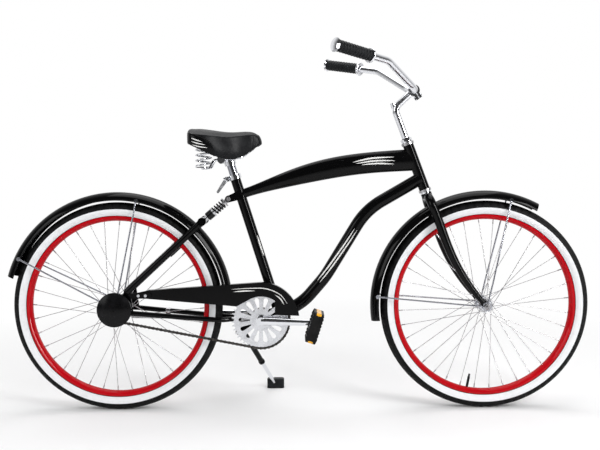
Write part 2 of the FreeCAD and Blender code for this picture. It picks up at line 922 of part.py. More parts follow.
def bottom_bracket_shell():
    """The wide shell of a one-piece crank with two pivot lugs behind it and the kickstand's boss."""
    half = shell_length / 2
    solid = across(bracket, -half, half, shell_radius)
    near = pivot_half_width + air_gap
    far = near + lug_thickness
    lug = plate([(swing_pivot.x, bracket.z - pivot_radius),
                 (bracket.x, bracket.z - shell_radius * lug_root_share),
                 (bracket.x, bracket.z + shell_radius * lug_root_share),
                 (swing_pivot.x, bracket.z + pivot_radius),
                 ((swing_pivot.x - pivot_radius, bracket.z), (swing_pivot.x, bracket.z - pivot_radius))],
                 near, far)
    boss_out = stand_pivot - stand_axis * (stand_eye_length / 2 + seat_fit)
    boss_in = boss_out - stand_axis * stand_boss_length
    boss = cylinder(boss_in, boss_out, stand_boss_radius)
    web = plate([(stand_pivot.x, stand_pivot.z - stand_boss_radius),
                 (bracket.x, bracket.z - shell_radius * stand_web_share),
                 (bracket.x, bracket.z), (swing_pivot.x + pivot_radius, bracket.z - pivot_radius),
                 (stand_pivot.x, stand_pivot.z + stand_boss_radius / 2)], near, far)
    room = cylinder(boss_out, boss_out + stand_axis * cut_reach, stand_boss_radius + stand_boss_room)
    pin = cylinder(boss_in, stand_pivot + stand_axis * (stand_eye_length / 2 + seat_fit), stand_pin_radius)
    web = web.cut(room)
    solid = joined([solid, lug, mirrored(lug), web, boss, pin])
    solid = solid.cut(across(bracket, -cut_reach, cut_reach, shell_bore))
    return solid.cut(across(swing_pivot, -cut_reach, cut_reach, pivot_bolt_radius + running_fit))


def shock_bracket():
    near = shock_eye_half + air_gap
    far = near + bracket_plate_thickness
    foot = on_line(seat_foot, seat_up, shock_top.z - bracket_foot_low)
    top = on_line(seat_foot, seat_up, shock_top.z + bracket_foot_high)
    ear = plate([(foot.x, foot.z), (top.x, top.z), (shock_top.x, shock_top.z + shock_eye_radius),
                 ((shock_top.x - shock_eye_radius, shock_top.z),
                  (shock_top.x, shock_top.z - shock_eye_radius))],
                near, far)
    ear = ear.cut(across(shock_top, 0, far + overrun, shock_bolt_radius + seat_fit))
    ear = ear.cut(cylinder(seat_foot, seat_top, seat_tube_radius))
    return [ear, mirrored(ear)]


def pivot_bolts():
    """The swingarm's pivot bolt and the shock's upper bolt, each with a head and a nut."""
    lug_out = pivot_half_width + air_gap + lug_thickness + seat_fit
    pivot = joined([across(swing_pivot, -lug_out, lug_out, pivot_bolt_radius),
                    across(swing_pivot, lug_out, lug_out + pivot_head_thickness, pivot_head_radius),
                    across(swing_pivot, -lug_out - pivot_head_thickness, -lug_out, pivot_head_radius)])
    ear_out = shock_eye_half + air_gap + bracket_plate_thickness + seat_fit
    head = expander_head_height
    shock = joined([across(shock_top, -ear_out, ear_out, shock_bolt_radius),
                    hexagon(shock_top + Y_AXIS * ear_out, shock_top + Y_AXIS * (ear_out + head),
                            expander_head_radius),
                    hexagon(shock_top - Y_AXIS * ear_out, shock_top - Y_AXIS * (ear_out + head),
                            expander_head_radius)])
    return [pivot, shock]


# Headset, fork and steering

def cup(origin, outward):
    """A bearing cup pressed into the head tube, with its flange outside."""
    bore = head_tube_bore - cup_wall
    deep = headset_ball_circle + headset_ball_radius + seat_fit
    return turned([(-cup_insert, bore), (-cup_insert, head_tube_bore - running_fit),
                   (0, head_tube_bore - running_fit),
                   (0, cup_flange_radius), (cup_flange_height, cup_flange_radius),
                   (cup_flange_height, deep),
                   (cup_floor, deep), (cup_floor, bore + cup_wall / 4), (0, bore + cup_wall / 4)], origin,
                   outward)


def headset_bearings():
    solids = []
    for origin, outward in ((head_low, head_up * -1), (head_top, head_up)):
        solids.append(cup(origin, outward))
        middle = origin + outward * headset_ball_inset
        solids += ball_ring(middle, outward, headset_ball_circle, headset_ball_radius, headset_ball_count)
    return solids


def headset_nuts():
    """The crown race under the lower cup, and the upper race and locknut on the steerer."""
    bore = steerer_radius + seat_fit
    low = cup_flange_height + air_gap
    solids = []
    for origin, outward in ((head_low, head_up * -1), (head_top, head_up)):
        foot = origin + outward * low
        solids.append(tube(foot, foot + outward * race_height, race_radius, bore))
    nut_foot = head_top + head_up * (low + race_height + seat_fit)
    nut = hexagon(nut_foot, nut_foot + head_up * headset_nut_height, headset_nut_radius)
    solids.append(nut.cut(cylinder(head_top, nut_foot + head_up * cut_reach, bore)))
    return solids


def crown_point(across_place, drop):
    return head_low - head_up * drop + Y_AXIS * across_place


def fork_crown():
    """An arched crown tube with the steerer standing on its middle."""
    arch = rod([crown_point(fork_half, crown_leg_drop), crown_point(fork_half, crown_drop),
                crown_point(-fork_half, crown_drop), crown_point(-fork_half, crown_leg_drop)],
               (crown_bend, crown_bend), crown_tube_radius)
    top = head_top + head_up * steerer_above
    seat_drop = cup_flange_height + air_gap + race_height + seat_fit
    base = cylinder(crown_point(0, seat_drop), crown_point(0, crown_drop), race_radius)
    steerer = cylinder(crown_point(0, crown_drop), top, steerer_radius)
    bore = cylinder(crown_point(0, 0), top + head_up * overrun, steerer_bore)
    return joined([arch, base, steerer]).cut(bore)


def fork_blade():
    """A blade that runs down the steering line, then bends forward to the axle and thins."""
    bend_start = head_low - head_up * fork_straight
    to_axle = front_axle - bend_start
    drop = -to_axle.dot(head_up)
    forward = level(90 - head_angle)
    rake = to_axle.dot(forward)
    angle = 2 * math.atan2(rake, drop)
    radius = drop / math.sin(angle)

    def arc_place(share):
        turn = angle * share
        point = bend_start - head_up * (radius * math.sin(turn)) + forward * (radius * (1 - math.cos(turn)))
        return point, forward * math.sin(turn) - head_up * math.cos(turn)

    places = [(crown_point(0, crown_leg_drop), head_up * -1), (bend_start, head_up * -1)]
    places += [arc_place(share) for share in blade_arc_shares]
    tip, tip_way = arc_place(blade_tip_share)
    sections = [round_section(point + Y_AXIS * fork_half, way, crown_tube_radius * share)
                for (point, way), share in zip(places, blade_radius_shares)]
    sections.append(round_section(tip + Y_AXIS * fork_half, tip_way, blade_tip_radius))
    blade = Part.makeLoft(sections, True, False)
    near = front_over_nuts / 2 + seat_fit / 2
    far = near + dropout_thickness
    side = forward * math.cos(angle) + head_up * math.sin(angle)
    low = tip - tip_way * fork_tab_radius
    corners = [low + side * blade_tip_radius, low - side * blade_tip_radius,
               front_axle - side * fork_tab_radius, front_axle + side * fork_tab_radius]
    tab = plate([(corner.x, corner.z) for corner in corners], near, far)
    tab = tab.fuse(across(front_axle, near, far, fork_tab_radius))
    slot = plate([(front_axle.x - dropout_slot, front_axle.z), (front_axle.x - dropout_slot, 0),
                  (front_axle.x + dropout_slot, 0), (front_axle.x + dropout_slot, front_axle.z)],
                 near - overrun, far + overrun)
    hole = across(front_axle, near - overrun, far + overrun, dropout_slot)
    return joined([blade, tab]).cut(slot.fuse(hole))


def ear_turned(shape):
    """Turn what is built below the clamp forward about the handlebar."""
    shape.rotate(bar_clamp, Y_AXIS, -clamp_ear_turn)
    return shape


def stem():
    """The quill rises out of the steerer, bends forward and carries the handlebar's split clamp."""
    corner = stem_corner
    clamp = bar_clamp
    foot = head_top - head_up * quill_depth
    quill = rod([foot, corner, clamp], (stem_bend,), quill_radius)
    boss = cylinder(corner, corner + head_up * quill_radius, expander_boss)
    barrel = across(clamp, -clamp_half, clamp_half, clamp_radius)
    ear_low = clamp.z - clamp_radius - clamp_ear
    ear = plate([(clamp.x - clamp_ear_half, clamp.z), (clamp.x - clamp_ear_half, ear_low),
                 (clamp.x + clamp_ear_half, ear_low), (clamp.x + clamp_ear_half, clamp.z)],
                -clamp_half * clamp_ear_share, clamp_half * clamp_ear_share)
    slit = plate([(clamp.x - clamp_slit / 2, clamp.z), (clamp.x - clamp_slit / 2, ear_low - overrun),
                  (clamp.x + clamp_slit / 2, ear_low - overrun), (clamp.x + clamp_slit / 2, clamp.z)],
                 -clamp_half - overrun, clamp_half + overrun)
    bolt_at = V(clamp.x, 0, ear_low + clamp_ear / 2)
    bolt_hole = cylinder(bolt_at - X_AXIS * clamp_radius, bolt_at + X_AXIS * clamp_radius,
                         clamp_bolt_radius + seat_fit)
    bar_hole = across(clamp, -clamp_half - overrun, clamp_half + overrun, bar_radius + running_fit)
    top = corner + head_up * (quill_radius + overrun)
    bore = cylinder(foot - head_up * overrun, top, expander_bolt_radius + seat_fit)
    sink = cylinder(corner + head_up * quill_radius, top + head_up * overrun * 2,
                    expander_head_radius + air_gap)
    solid = joined([quill, boss, barrel, ear_turned(ear)])
    return solid.cut([bar_hole, ear_turned(slit), ear_turned(bolt_hole), bore, sink])


def stem_bolts():
    """The long expander bolt with its wedge, and the clamp's bolt with its nut."""
    corner = stem_corner
    clamp = bar_clamp
    foot = head_top - head_up * quill_depth
    wedge_top = foot - head_up * air_gap
    cap_foot = corner + head_up * (quill_radius + air_gap)
    expander = joined([cylinder(wedge_top - head_up * wedge_length, cap_foot, expander_bolt_radius),
                       cylinder(cap_foot, cap_foot + head_up * expander_head_height, expander_head_radius)])
    wedge = cylinder(wedge_top - head_up * wedge_length, wedge_top, quill_radius)
    wedge = wedge.cut(cylinder(foot - head_up * cut_reach, foot, expander_bolt_radius + running_fit))
    bolt_at = clamp - Z_AXIS * (clamp_radius + clamp_ear / 2)
    reach = X_AXIS * (clamp_ear_half + seat_fit)
    head = X_AXIS * clamp_bolt_radius
    bolt = joined([cylinder(bolt_at - reach - head, bolt_at + reach + head, clamp_bolt_radius),
                   cylinder(bolt_at + reach, bolt_at + reach + head, clamp_bolt_head),
                   hexagon(bolt_at - reach - head, bolt_at - reach, clamp_bolt_head)])
    return [expander, wedge, ear_turned(bolt)]


def grip_line():
    """The bar's end on the left, and the direction from it back along the grip."""
    end = bar_clamp + V(-bar_end_back, bar_end_half, bar_end_up)
    rise = bar_clamp + V(-bar_rise_back, bar_rise_half, bar_rise_up)
    return end, (rise - end).normalize()


def handlebar():
    half = [bar_clamp + Y_AXIS * bar_centre_half, bar_clamp + V(-bar_rise_back, bar_rise_half, bar_rise_up),
            bar_clamp + V(-bar_end_back, bar_end_half, bar_end_up)]
    other = [V(point.x, -point.y, point.z) for point in half]
    return rod(half[::-1] + other, bar_bends[::-1] + bar_bends, bar_radius)


def grip():
    """A ribbed rubber grip."""
    end, way = grip_line()
    step = grip_length / (2 * grip_ribs + 1)
    items = [(0, bar_radius + running_fit), (0, grip_radius)]
    for k in range(grip_ribs):
        low = step * (2 * k + 1)
        items += [(low, grip_radius), ((low + step / 2, grip_radius + grip_rib), (low + step, grip_radius))]
    items += [(grip_length, grip_radius), (grip_length, bar_radius + running_fit)]
    return turned(items, end, way)


def dome_middle(depth, radius):
    """Half way from a dome's pole to its rim: the drop from the pole and the distance from the axis."""
    curve = (radius ** 2 + depth ** 2) / (2 * depth)
    half = math.asin(radius / curve) / 2
    return curve * (1 - math.cos(half)), curve * math.sin(half)


def grip_cap():
    """A domed cap over the bar's end."""
    end, way = grip_line()
    rim = grip_cap_thickness - grip_cap_neck
    drop, out = dome_middle(grip_cap_thickness - rim, grip_cap_radius)
    return turned([(-air_gap, 0), (-air_gap, grip_cap_radius - rim), (-rim, grip_cap_radius),
                   ((drop - grip_cap_thickness, out), (-grip_cap_thickness, 0))], end, way)


def grip_collar():
    """A flanged ring at the grip's inner end."""
    end, way = grip_line()
    foot = grip_length + air_gap
    top = foot + grip_collar_thickness
    return turned([(foot, bar_radius + running_fit), (foot, grip_collar_radius),
                   ((foot + grip_collar_thickness / 2, grip_collar_radius + grip_rib), (top, grip_radius)),
                   (top, bar_radius + running_fit)], end, way)


# Fenders

def wheel_arc(items, angles):
    """A section in the wheel's plane carried round the axle between two angles above straight ahead."""
    face = Part.Face(outline(items, lambda place, radius: V(radius, place, 0)))
    face.rotate(ORIGIN, Y_AXIS, -angles[0])
    return face.revolve(ORIGIN, Y_AXIS * -1, angles[1] - angles[0])


def fender(angles):
    """A pressed sheet fender with a rolled edge on each side."""
    wide = fender_half_width
    inside = wide - fender_sheet
    sheet = wheel_arc([(-wide, fender_edge_radius), ((0, fender_radius), (wide, fender_edge_radius)),
                       (inside, fender_edge_radius),
                       ((0, fender_radius - fender_sheet), (-inside, fender_edge_radius))],
                      angles)
    middle = wide - fender_sheet / 2
    roll = fender_edge_radius
    bead = wheel_arc([(middle - fender_roll, roll),
                      ((middle, roll + fender_roll), (middle + fender_roll, roll)),
                      ((middle, roll - fender_roll), (middle - fender_roll, roll))], angles)
    return joined([sheet, bead, mirrored(bead)])


def fender_stay(angle, plane):
    """A wire stay from the eye on the axle to a pad on the fender's edge, with its screw."""
    lift = Y_AXIS * plane
    edge = fender_half_width - fender_sheet / 2 + fender_roll + air_gap
    pad = level(angle) * (fender_edge_radius + stay_pad_radius / 2) + Y_AXIS * (edge + stay_pad_half)
    wire = rod([level(angle) * stay_root + lift, level(angle) * stay_knee + lift, pad], (stay_bend,),
               stay_radius)
    disc = across(pad, -stay_pad_half, stay_pad_half, stay_pad_radius)
    screw = across(pad, stay_pad_half, stay_pad_half + stay_screw_height, stay_screw_radius)
    inner = across(pad, -stay_radius * 2, -stay_pad_half, stay_pad_radius * 2)
    return joined([wire, disc, screw]).cut(inner)


def fender_stays(over_nuts, angles):
    """The stays of one fender: on each side one eye on the axle and a wire to each end."""
    inside = over_nuts / 2 + dropout_thickness + 1.5 * seat_fit
    eye = across(ORIGIN, inside, inside + stay_eye_thickness, stay_eye_radius)
    solid = joined([eye] + [fender_stay(angle, inside + stay_radius) for angle in angles])
    solid = solid.cut(across(ORIGIN, 0, cut_reach, axle_radius + seat_fit))
    return [solid, mirrored(solid)]


def fender_bolt(axle, support, keep_off):
    """A short bolt on the wheel's radius that ties a fender's crown to the piece above it."""
    flat = V(support.x, axle.y, support.z)
    way = (flat - axle).normalize()
    rise = fender_radius - fender_edge_radius
    swell = (fender_half_width ** 2 + rise ** 2) / (2 * rise)
    reach = fender_radius - swell + math.sqrt((swell - fender_sheet / 2) ** 2 - support.y ** 2)
    bolt = cylinder(support + way * (reach - (flat - axle).Length), support, fender_bolt_radius)
    pieces = bolt.cut(keep_off).Solids
    return max(pieces, key=lambda piece: piece.Volume)


# Swingarm

def chainstay():
    """The left chainstay with its dropout plate."""
    root = swing_pivot + Y_AXIS * chainstay_root_half
    waist = swing_pivot - X_AXIS * chainstay_waist_ahead + Y_AXIS * chainstay_waist_half
    flare = V(bracket.x - chainstay_flare_behind, chainstay_flare_half, bracket_height)
    near = rear_over_nuts / 2 + seat_fit / 2
    far = near + dropout_thickness
    end = V(chainstay_end_x, (near + far) / 2, tyre_radius - chainstay_end_drop)
    stay = rod([root, waist, flare, end], chainstay_bends, chainstay_radius)
    foot = V(seatstay_foot_x, 0, tyre_radius + seatstay_foot_rise)
    web = plate([(rear_axle.x, rear_axle.z - dropout_radius), (end.x, end.z - chainstay_radius),
                 (end.x + chainstay_radius, end.z), (foot.x + chainstay_radius, foot.z),
                 (foot.x - chainstay_radius, foot.z), (rear_axle.x - dropout_radius, rear_axle.z)], near,
                 far)
    web = web.fuse(across(rear_axle, near, far, dropout_radius))
    slot = plate([(rear_axle.x, rear_axle.z + dropout_slot),
                  (rear_axle.x - dropout_slot_length * 2, rear_axle.z + dropout_slot),
                  (rear_axle.x - dropout_slot_length * 2, rear_axle.z - dropout_slot),
                  (rear_axle.x, rear_axle.z - dropout_slot)], near - overrun, far + overrun)
    hole = across(rear_axle, near - overrun, far + overrun, dropout_slot)
    barrel = across(swing_pivot, 0, pivot_half_width, pivot_radius)
    return joined([stay, web, barrel]).cut(slot.fuse(hole))


def chainstays():
    half = chainstay()
    near = rear_over_nuts / 2 + seat_fit / 2
    middle = rear_axle.z + guard_tip_rise
    tab = plate([(chainstay_end_x - chainstay_radius, middle - guard_tab_half),
                 (guard_tab_end, middle - guard_tab_half),
                 ((guard_tab_end + guard_tab_half, middle), (guard_tab_end, middle + guard_tab_half)),
                 (chainstay_end_x - chainstay_radius, middle + guard_tab_half)], -near - dropout_thickness,
                 -near)
    solid = joined([half, mirrored(half), tab])
    return solid.cut(across(swing_pivot, -cut_reach, cut_reach, pivot_bolt_radius + running_fit))


def seatstay():
    """The left seatstay, from the dropout to the shock's lower bolt."""
    foot = V(seatstay_foot_x, seatstay_foot_half, tyre_radius + seatstay_foot_rise)
    top = shock_low + Y_AXIS * seatstay_top_half
    tube_bar = cylinder(foot, top, seatstay_radius)
    lug = across(shock_low, seatstay_top_half - seatstay_lug_radius,
                 seatstay_top_half + seatstay_lug_radius,
                 seatstay_lug_radius)
    yoke = across(shock_low, shock_eye_half + air_gap, seatstay_top_half, yoke_radius)
    solid = joined([tube_bar, lug, yoke, Part.makeSphere(seatstay_radius, foot)])
    return solid.cut(across(shock_low, 0, cut_reach, shock_bolt_radius + seat_fit))


def lower_shock_bolt():
    reach = seatstay_top_half + seatstay_lug_radius + seat_fit
    head = expander_head_height
    return joined([across(shock_low, -reach, reach, shock_bolt_radius),
                   hexagon(shock_low + Y_AXIS * reach, shock_low + Y_AXIS * (reach + head),
                           expander_head_radius),
                   hexagon(shock_low - Y_AXIS * reach, shock_low - Y_AXIS * (reach + head),
                           expander_head_radius)])


# Shock absorber

def shock_rod():
    """The upper eye, the spring's seat and the polished rod."""
    eye = across(shock_top, -shock_eye_half, shock_eye_half, shock_eye_radius)
    seat = shock_top + shock_down * shock_seat_reach
    seat_end = seat + shock_down * shock_seat_thickness
    solid = joined([eye, cylinder(shock_top, seat, shock_neck_radius),
                    cylinder(seat, seat_end, shock_seat_radius),
                    cylinder(seat, shock_top + shock_down * shock_rod_reach, shock_rod_radius)])
    return solid.cut(across(shock_top, -cut_reach, cut_reach, shock_bolt_radius + running_fit))


def shock_body():
    """The lower eye, the damper body, the spring's collar and the sleeve that takes the rod."""
    up = shock_down * -1
    bore = shock_rod_radius + shock_rod_room
    collar = shock_body_end + shock_collar_thickness
    items = [(0, 0), (0, shock_neck_radius), (shock_body_start, shock_neck_radius),
             (shock_body_start, shock_body_radius - shock_body_bevel),
             (shock_body_start + shock_body_bevel, shock_body_radius), (shock_body_end, shock_body_radius),
             (shock_body_end, shock_seat_radius), (collar, shock_seat_radius),
             (collar, shock_sleeve_radius),
             (shock_sleeve_end, shock_sleeve_radius), (shock_sleeve_end, bore), (shock_bore_floor, bore),
             (shock_bore_floor, 0)]
    eye = across(shock_low, -shock_eye_half, shock_eye_half, shock_eye_radius)
    solid = joined([eye, turned(items, shock_low, up)])
    return solid.cut(across(shock_low, -cut_reach, cut_reach, shock_bolt_radius + running_fit))


def shock_spring():
    up = shock_down * -1
    foot = shock_low + up * (shock_body_end + shock_collar_thickness + air_gap)
    top = shock_top + shock_down * (shock_seat_reach + shock_seat_thickness + air_gap)
    return coil(foot, top, shock_coil_radius, shock_wire_radius, shock_turns)


# Drive

def toothed_disc(teeth, thickness):
    """A sprocket blank: round roller seats with straight flanks up to narrow tips."""
    step = 2 * math.pi / teeth
    pitch_radius = chain_pitch / 2 / math.sin(step / 2)
    lift = math.radians(tooth_seat_angle)

    def spot(angle, outward, sideways):
        radius = pitch_radius + outward
        return (radius * math.cos(angle) - sideways * math.sin(angle),
                radius * math.sin(angle) + sideways * math.cos(angle))

    items = []
    for k in range(teeth):
        angle = k * step
        low = -tooth_seat_radius * math.cos(lift)
        wide = tooth_seat_radius * math.sin(lift)
        start = spot(angle, low, -wide)
        bottom = spot(angle, -tooth_seat_radius, 0)
        items += [start, (bottom, spot(angle, low, wide))]
        tip = angle + step / 2
        items += [spot(tip, tooth_height, -tooth_tip_half), spot(tip, tooth_height, tooth_tip_half)]
    return plate(items, -thickness / 2, thickness / 2)


def drive_turn(solid, centre, degrees):
    """Set a toothed piece on its axle in the chain's plane, with a roller seat at an angle above ahead."""
    solid.rotate(ORIGIN, Y_AXIS, -degrees)
    solid.translate(centre - Y_AXIS * chain_line)
    return solid


def chainring():
    """A pressed disc with drop-shaped windows between its spokes."""
    disc = toothed_disc(ring_teeth, ring_thickness)
    widening = ring_slot_outer_radius - ring_slot_inner_radius
    spread = math.asin(widening / (ring_slot_outer - ring_slot_inner))
    inner_end = (ring_slot_inner, ring_slot_inner_radius)
    outer_end = (ring_slot_outer, ring_slot_outer_radius)
    corners = [(place - radius * math.sin(spread), flank * radius * math.cos(spread))
               for (place, radius), flank in ((inner_end, -1), (outer_end, -1), (outer_end, 1),
                                              (inner_end, 1))]
    drop = [corners[0], corners[1], ((sum(outer_end), 0), corners[2]), corners[3],
            ((ring_slot_inner - ring_slot_inner_radius, 0), corners[0])]
    windows = []
    for k in range(ring_slots):
        window = plate(drop, -ring_thickness, ring_thickness)
        window.rotate(ORIGIN, Y_AXIS, 360 * k / ring_slots)
        windows.append(window)
    bore = across(ORIGIN, -ring_thickness, ring_thickness, ring_bore)
    return drive_turn(disc.cut(windows + [bore]), bracket, drive_slope + math.degrees(ring_step) / 2)


def rear_sprocket():
    """The sprocket and the driver that it is held on by a flange."""
    disc = toothed_disc(sprocket_teeth, ring_thickness)
    disc = drive_turn(disc, rear_axle, drive_slope + 180 + math.degrees(sprocket_step) / 2)
    disc = disc.cut(across(rear_axle, -cut_reach, 0, sprocket_bore))
    face = chain_line - ring_thickness / 2 + seat_fit
    out = rear_over_nuts / 2 - locknut_thickness - air_gap
    driver = joined([across(rear_axle, -out, -rear_hub_end - air_gap, driver_radius),
                     across(rear_axle, -face + 2 * seat_fit, driver_flange - face, driver_flange_radius)])
    driver = driver.cut(across(rear_axle, -cut_reach, 0, cone_radius + running_fit))
    ring_at = chain_line + ring_thickness / 2 + seat_fit
    snap = across(rear_axle, -ring_at - snap_ring, -ring_at, snap_ring_radius)
    return [disc, driver, snap.cut(across(rear_axle, -cut_reach, 0, sprocket_bore))]


def link_plate(near, waist):
    """One figure-eight plate along X, from one pin to the next."""
    upper = math.sqrt(plate_radius ** 2 - waist ** 2)
    left = [(upper, waist), (chain_pitch - upper, waist),
            ((chain_pitch + plate_radius, 0), (chain_pitch - upper, -waist)),
            (upper, -waist), ((-plate_radius, 0), (upper, waist))]
    return plate(left, near, near + plate_thickness)


def outer_link():
    """Two outer plates riveted on two pins."""
    pieces = [across(ORIGIN, -pin_half, pin_half, pin_radius),
              across(X_AXIS * chain_pitch, -pin_half, pin_half, pin_radius),
              link_plate(outer_plate_face, plate_waist),
              link_plate(-outer_plate_face - plate_thickness, plate_waist)]
    return joined(pieces)


def inner_link():
    """Two inner plates on two rollers, bored for the pins."""
    ends = (ORIGIN, X_AXIS * chain_pitch)
    reach = inner_plate_face + plate_thickness
    rollers = [across(end, -roller_half, roller_half, roller_radius) for end in ends]
    plates = [link_plate(inner_plate_face, plate_waist),
              link_plate(-inner_plate_face - plate_thickness, plate_waist)]
    holes = [across(end, -reach - overrun, reach + overrun, roller_bore) for end in ends]
    return joined(rollers + plates).cut(holes)


def chain_pins():
    """The pins' places round both sprockets, from the upper end of the chainring's wrap."""
    way = (rear_axle - bracket).normalize()
    up = V(way.z, 0, -way.x)

    def spot(centre, radius, angle):
        across = way * (radius * math.cos(angle))
        return centre + across + up * (radius * math.sin(angle)) - Y_AXIS * chain_line

    ring = [spot(bracket, ring_pitch_radius, ring_leave + ring_step * k) for k in range(ring_wrap + 1)]
    small = [spot(rear_axle, sprocket_pitch_radius,
                  sprocket_step * k - sprocket_leave) for k in range(sprocket_wrap + 1)]
    lower = [ring[-1] + (small[0] - ring[-1]) * (k / span_pitches) for k in range(1, span_pitches)]
    upper = [small[-1] + (ring[0] - small[-1]) * (k / span_pitches) for k in range(1, span_pitches)]
    return ring + lower + small + upper


def chain():
    """Inner and outer links in turn, each laid from one pin to the next."""
    pins = chain_pins()
    kinds = (inner_link(), outer_link())
    links = []
    for k, pin in enumerate(pins):
        run = pins[(k + 1) % len(pins)] - pin
        link = kinds[k % 2].copy()
        link.rotate(ORIGIN, Y_AXIS, -math.degrees(math.atan2(run.z, run.x)))
        link.translate(pin)
        links.append(link)
    return links


def crank_arm():
    """The right arm along X: a knee at the spindle, a tapering arm and the pedal's boss."""
    sections = []
    for run, width in zip(crank_run_shares, crank_half_width_shares):
        out = crank_root_y + (crank_tip_y - crank_root_y) * run
        middle = V(crank_length * run, -out, 0)
        sections.append(Part.Wire([Part.Ellipse(middle + Z_AXIS * (crank_half_width * width),
                                                middle + Y_AXIS * crank_half_thickness, middle).toShape()]))
    arm = Part.makeLoft(sections, True, False)
    shoulder = chain_line + (ring_thickness + seat_fit) / 2
    knee = across(ORIGIN, -crank_root_y - crank_half_thickness * crank_knee_share, -shoulder,
                  crank_knee_radius)
    boss = across(X_AXIS * crank_length, -crank_tip_y - pedal_boss_half, -crank_tip_y + pedal_boss_half,
                  pedal_boss_radius)
    thread = across(X_AXIS * crank_length, -crank_tip_y - cut_reach, -crank_tip_y + cut_reach,
                    pedal_axle_radius + running_fit)
    return joined([arm, knee, boss]).cut(thread)


def turned_arm(solid):
    """Turn what is built on the right arm along X to the crank's angle, and place it on its axle."""
    solid.rotate(ORIGIN, Y_AXIS, -crank_angle)
    solid.translate(bracket)
    return solid


def other_arm(solid):
    """The left arm's copy: half a turn about the bicycle's own length and height."""
    copy = solid.copy()
    copy.rotate(ORIGIN, Z_AXIS, 180)
    return copy


def crank():
    """The one-piece forging, the cone that carries the chainring and the adjusting cone with its nut."""
    right = crank_arm()
    forging = joined([right, other_arm(right), across(ORIGIN, -spindle_half, spindle_half, spindle_radius)])
    solids = [turned_arm(forging)]
    bore = spindle_radius + seat_fit / 2
    seat = shell_length / 2 + crank_cup_flange + air_gap
    for flank, end in ((-1, chain_line - ring_thickness / 2 - seat_fit / 2), (1, seat + crank_cone_height)):
        cone = across(bracket, flank * (shell_length / 2 - crank_cup_depth + crank_cone_height),
                      flank * end, crank_cone_radius)
        flange = across(bracket, flank * seat, flank * end, crank_cone_flange)
        solids.append(cone.fuse(flange).cut(across(bracket, -cut_reach, cut_reach, bore)))
    right_nut = bracket - Y_AXIS * (chain_line + (ring_thickness + seat_fit) / 2)
    left_nut = bracket + Y_AXIS * (seat + crank_cone_height + seat_fit)
    for foot, flank, hole in ((right_nut, -1, crank_knee_radius + seat_fit), (left_nut, 1, bore)):
        nut = hexagon(foot, foot + Y_AXIS * (flank * crank_cup_flange), crank_cone_flange)
        solids.append(nut.cut(across(bracket, -cut_reach, cut_reach, hole)))
    return solids


def crank_bearings():
    """The pressed cups at the shell's ends and the balls in them."""
    solids = []
    half = shell_length / 2
    for flank in (1, -1):
        body = across(bracket, flank * (half - crank_cup_depth), flank * half, shell_bore - running_fit)
        rim = across(bracket, flank * half, flank * (half + crank_cup_flange), crank_cup_radius)
        hole = across(bracket, flank * (half - crank_cup_depth + crank_cup_flange),
                      flank * (half + cut_reach), crank_cup_bore)
        neck = across(bracket, 0, flank * half, crank_cone_flange - crank_cup_flange)
        solids.append(joined([body, rim]).cut([hole, neck]))
        middle = bracket + Y_AXIS * (flank * (half - crank_cup_depth / 4))
        solids += ball_ring(middle, Y_AXIS, crank_ball_circle, crank_ball_radius, crank_ball_count)
    return solids


def pedal_axle():
    """The right pedal's axle on the arm along X: a threaded end, a collar and a tapering spindle."""
    inner = crank_tip_y - pedal_boss_half
    face = crank_tip_y + pedal_boss_half + seat_fit
    end = face + pedal_collar + pedal_axle_length
    return turned([(-inner, 0), (-inner, pedal_axle_radius), (-face, pedal_axle_radius),
                   (-face, pedal_collar_radius),
                   (-face - pedal_collar, pedal_collar_radius), (-face - pedal_collar, pedal_axle_radius),
                   (-end, pedal_axle_radius), (-end, 0)], X_AXIS * crank_length, Y_AXIS)


def pedal():
    """A moulded pedal flat in X and Y: a frame with a barrel, ribs, gripping teeth and two reflectors."""
    half = V(pedal_length / 2, pedal_width / 2, pedal_height / 2)
    block = Part.makeBox(pedal_length, pedal_width, pedal_height, half * -1)
    frame_block = block.makeFillet(pedal_corner, upright_edges(block))
    window_length = half.x - pedal_wall - reflector_depth - pedal_barrel_radius
    window_width = (pedal_width - 2 * pedal_wall - 2 * pedal_rib) / 3
    holes = []
    for flank in (1, -1):
        for k in range(3):
            low = V(pedal_barrel_radius if flank > 0 else -pedal_barrel_radius - window_length,
                    -half.y + pedal_wall + k * (window_width + pedal_rib), -pedal_height)
            holes.append(Part.makeBox(window_length, window_width, pedal_height * 2, low))
        pocket = V(flank * half.x - (reflector_depth if flank > 0 else 0), -half.y, -reflector_height / 2)
        holes.append(Part.makeBox(reflector_depth, pedal_width, reflector_height, pocket))
    body = frame_block.cut(holes)
    step = (pedal_width - 2 * pedal_corner) / (pedal_teeth - 1)
    teeth = []
    for k in range(pedal_teeth):
        for flank in (1, -1):
            for top in (1, -1):
                low = V(flank * (half.x - pedal_wall) - pedal_tooth_width / 2,
                        -half.y + pedal_corner + k * step - pedal_tooth_width / 2,
                        half.z if top > 0 else -half.z - pedal_tooth)
                teeth.append(Part.makeBox(pedal_tooth_width, pedal_tooth_width, pedal_tooth, low))
    barrel = cylinder(Y_AXIS * -half.y, Y_AXIS * half.y, pedal_barrel_radius)
    body = joined([body, barrel] + teeth)
    body = body.cut(across(ORIGIN, -pedal_width, half.y - pedal_rib, pedal_axle_radius + running_fit))
    lenses = []
    for flank in (1, -1):
        back = half.x - reflector_depth + seat_fit if flank > 0 else -half.x
        low = V(back, -half.y, -reflector_height / 2 + seat_fit)
        lens = Part.makeBox(reflector_depth - seat_fit, pedal_width, reflector_height - 2 * seat_fit, low)
        lenses.append(lens.common(frame_block))
    return [body] + lenses


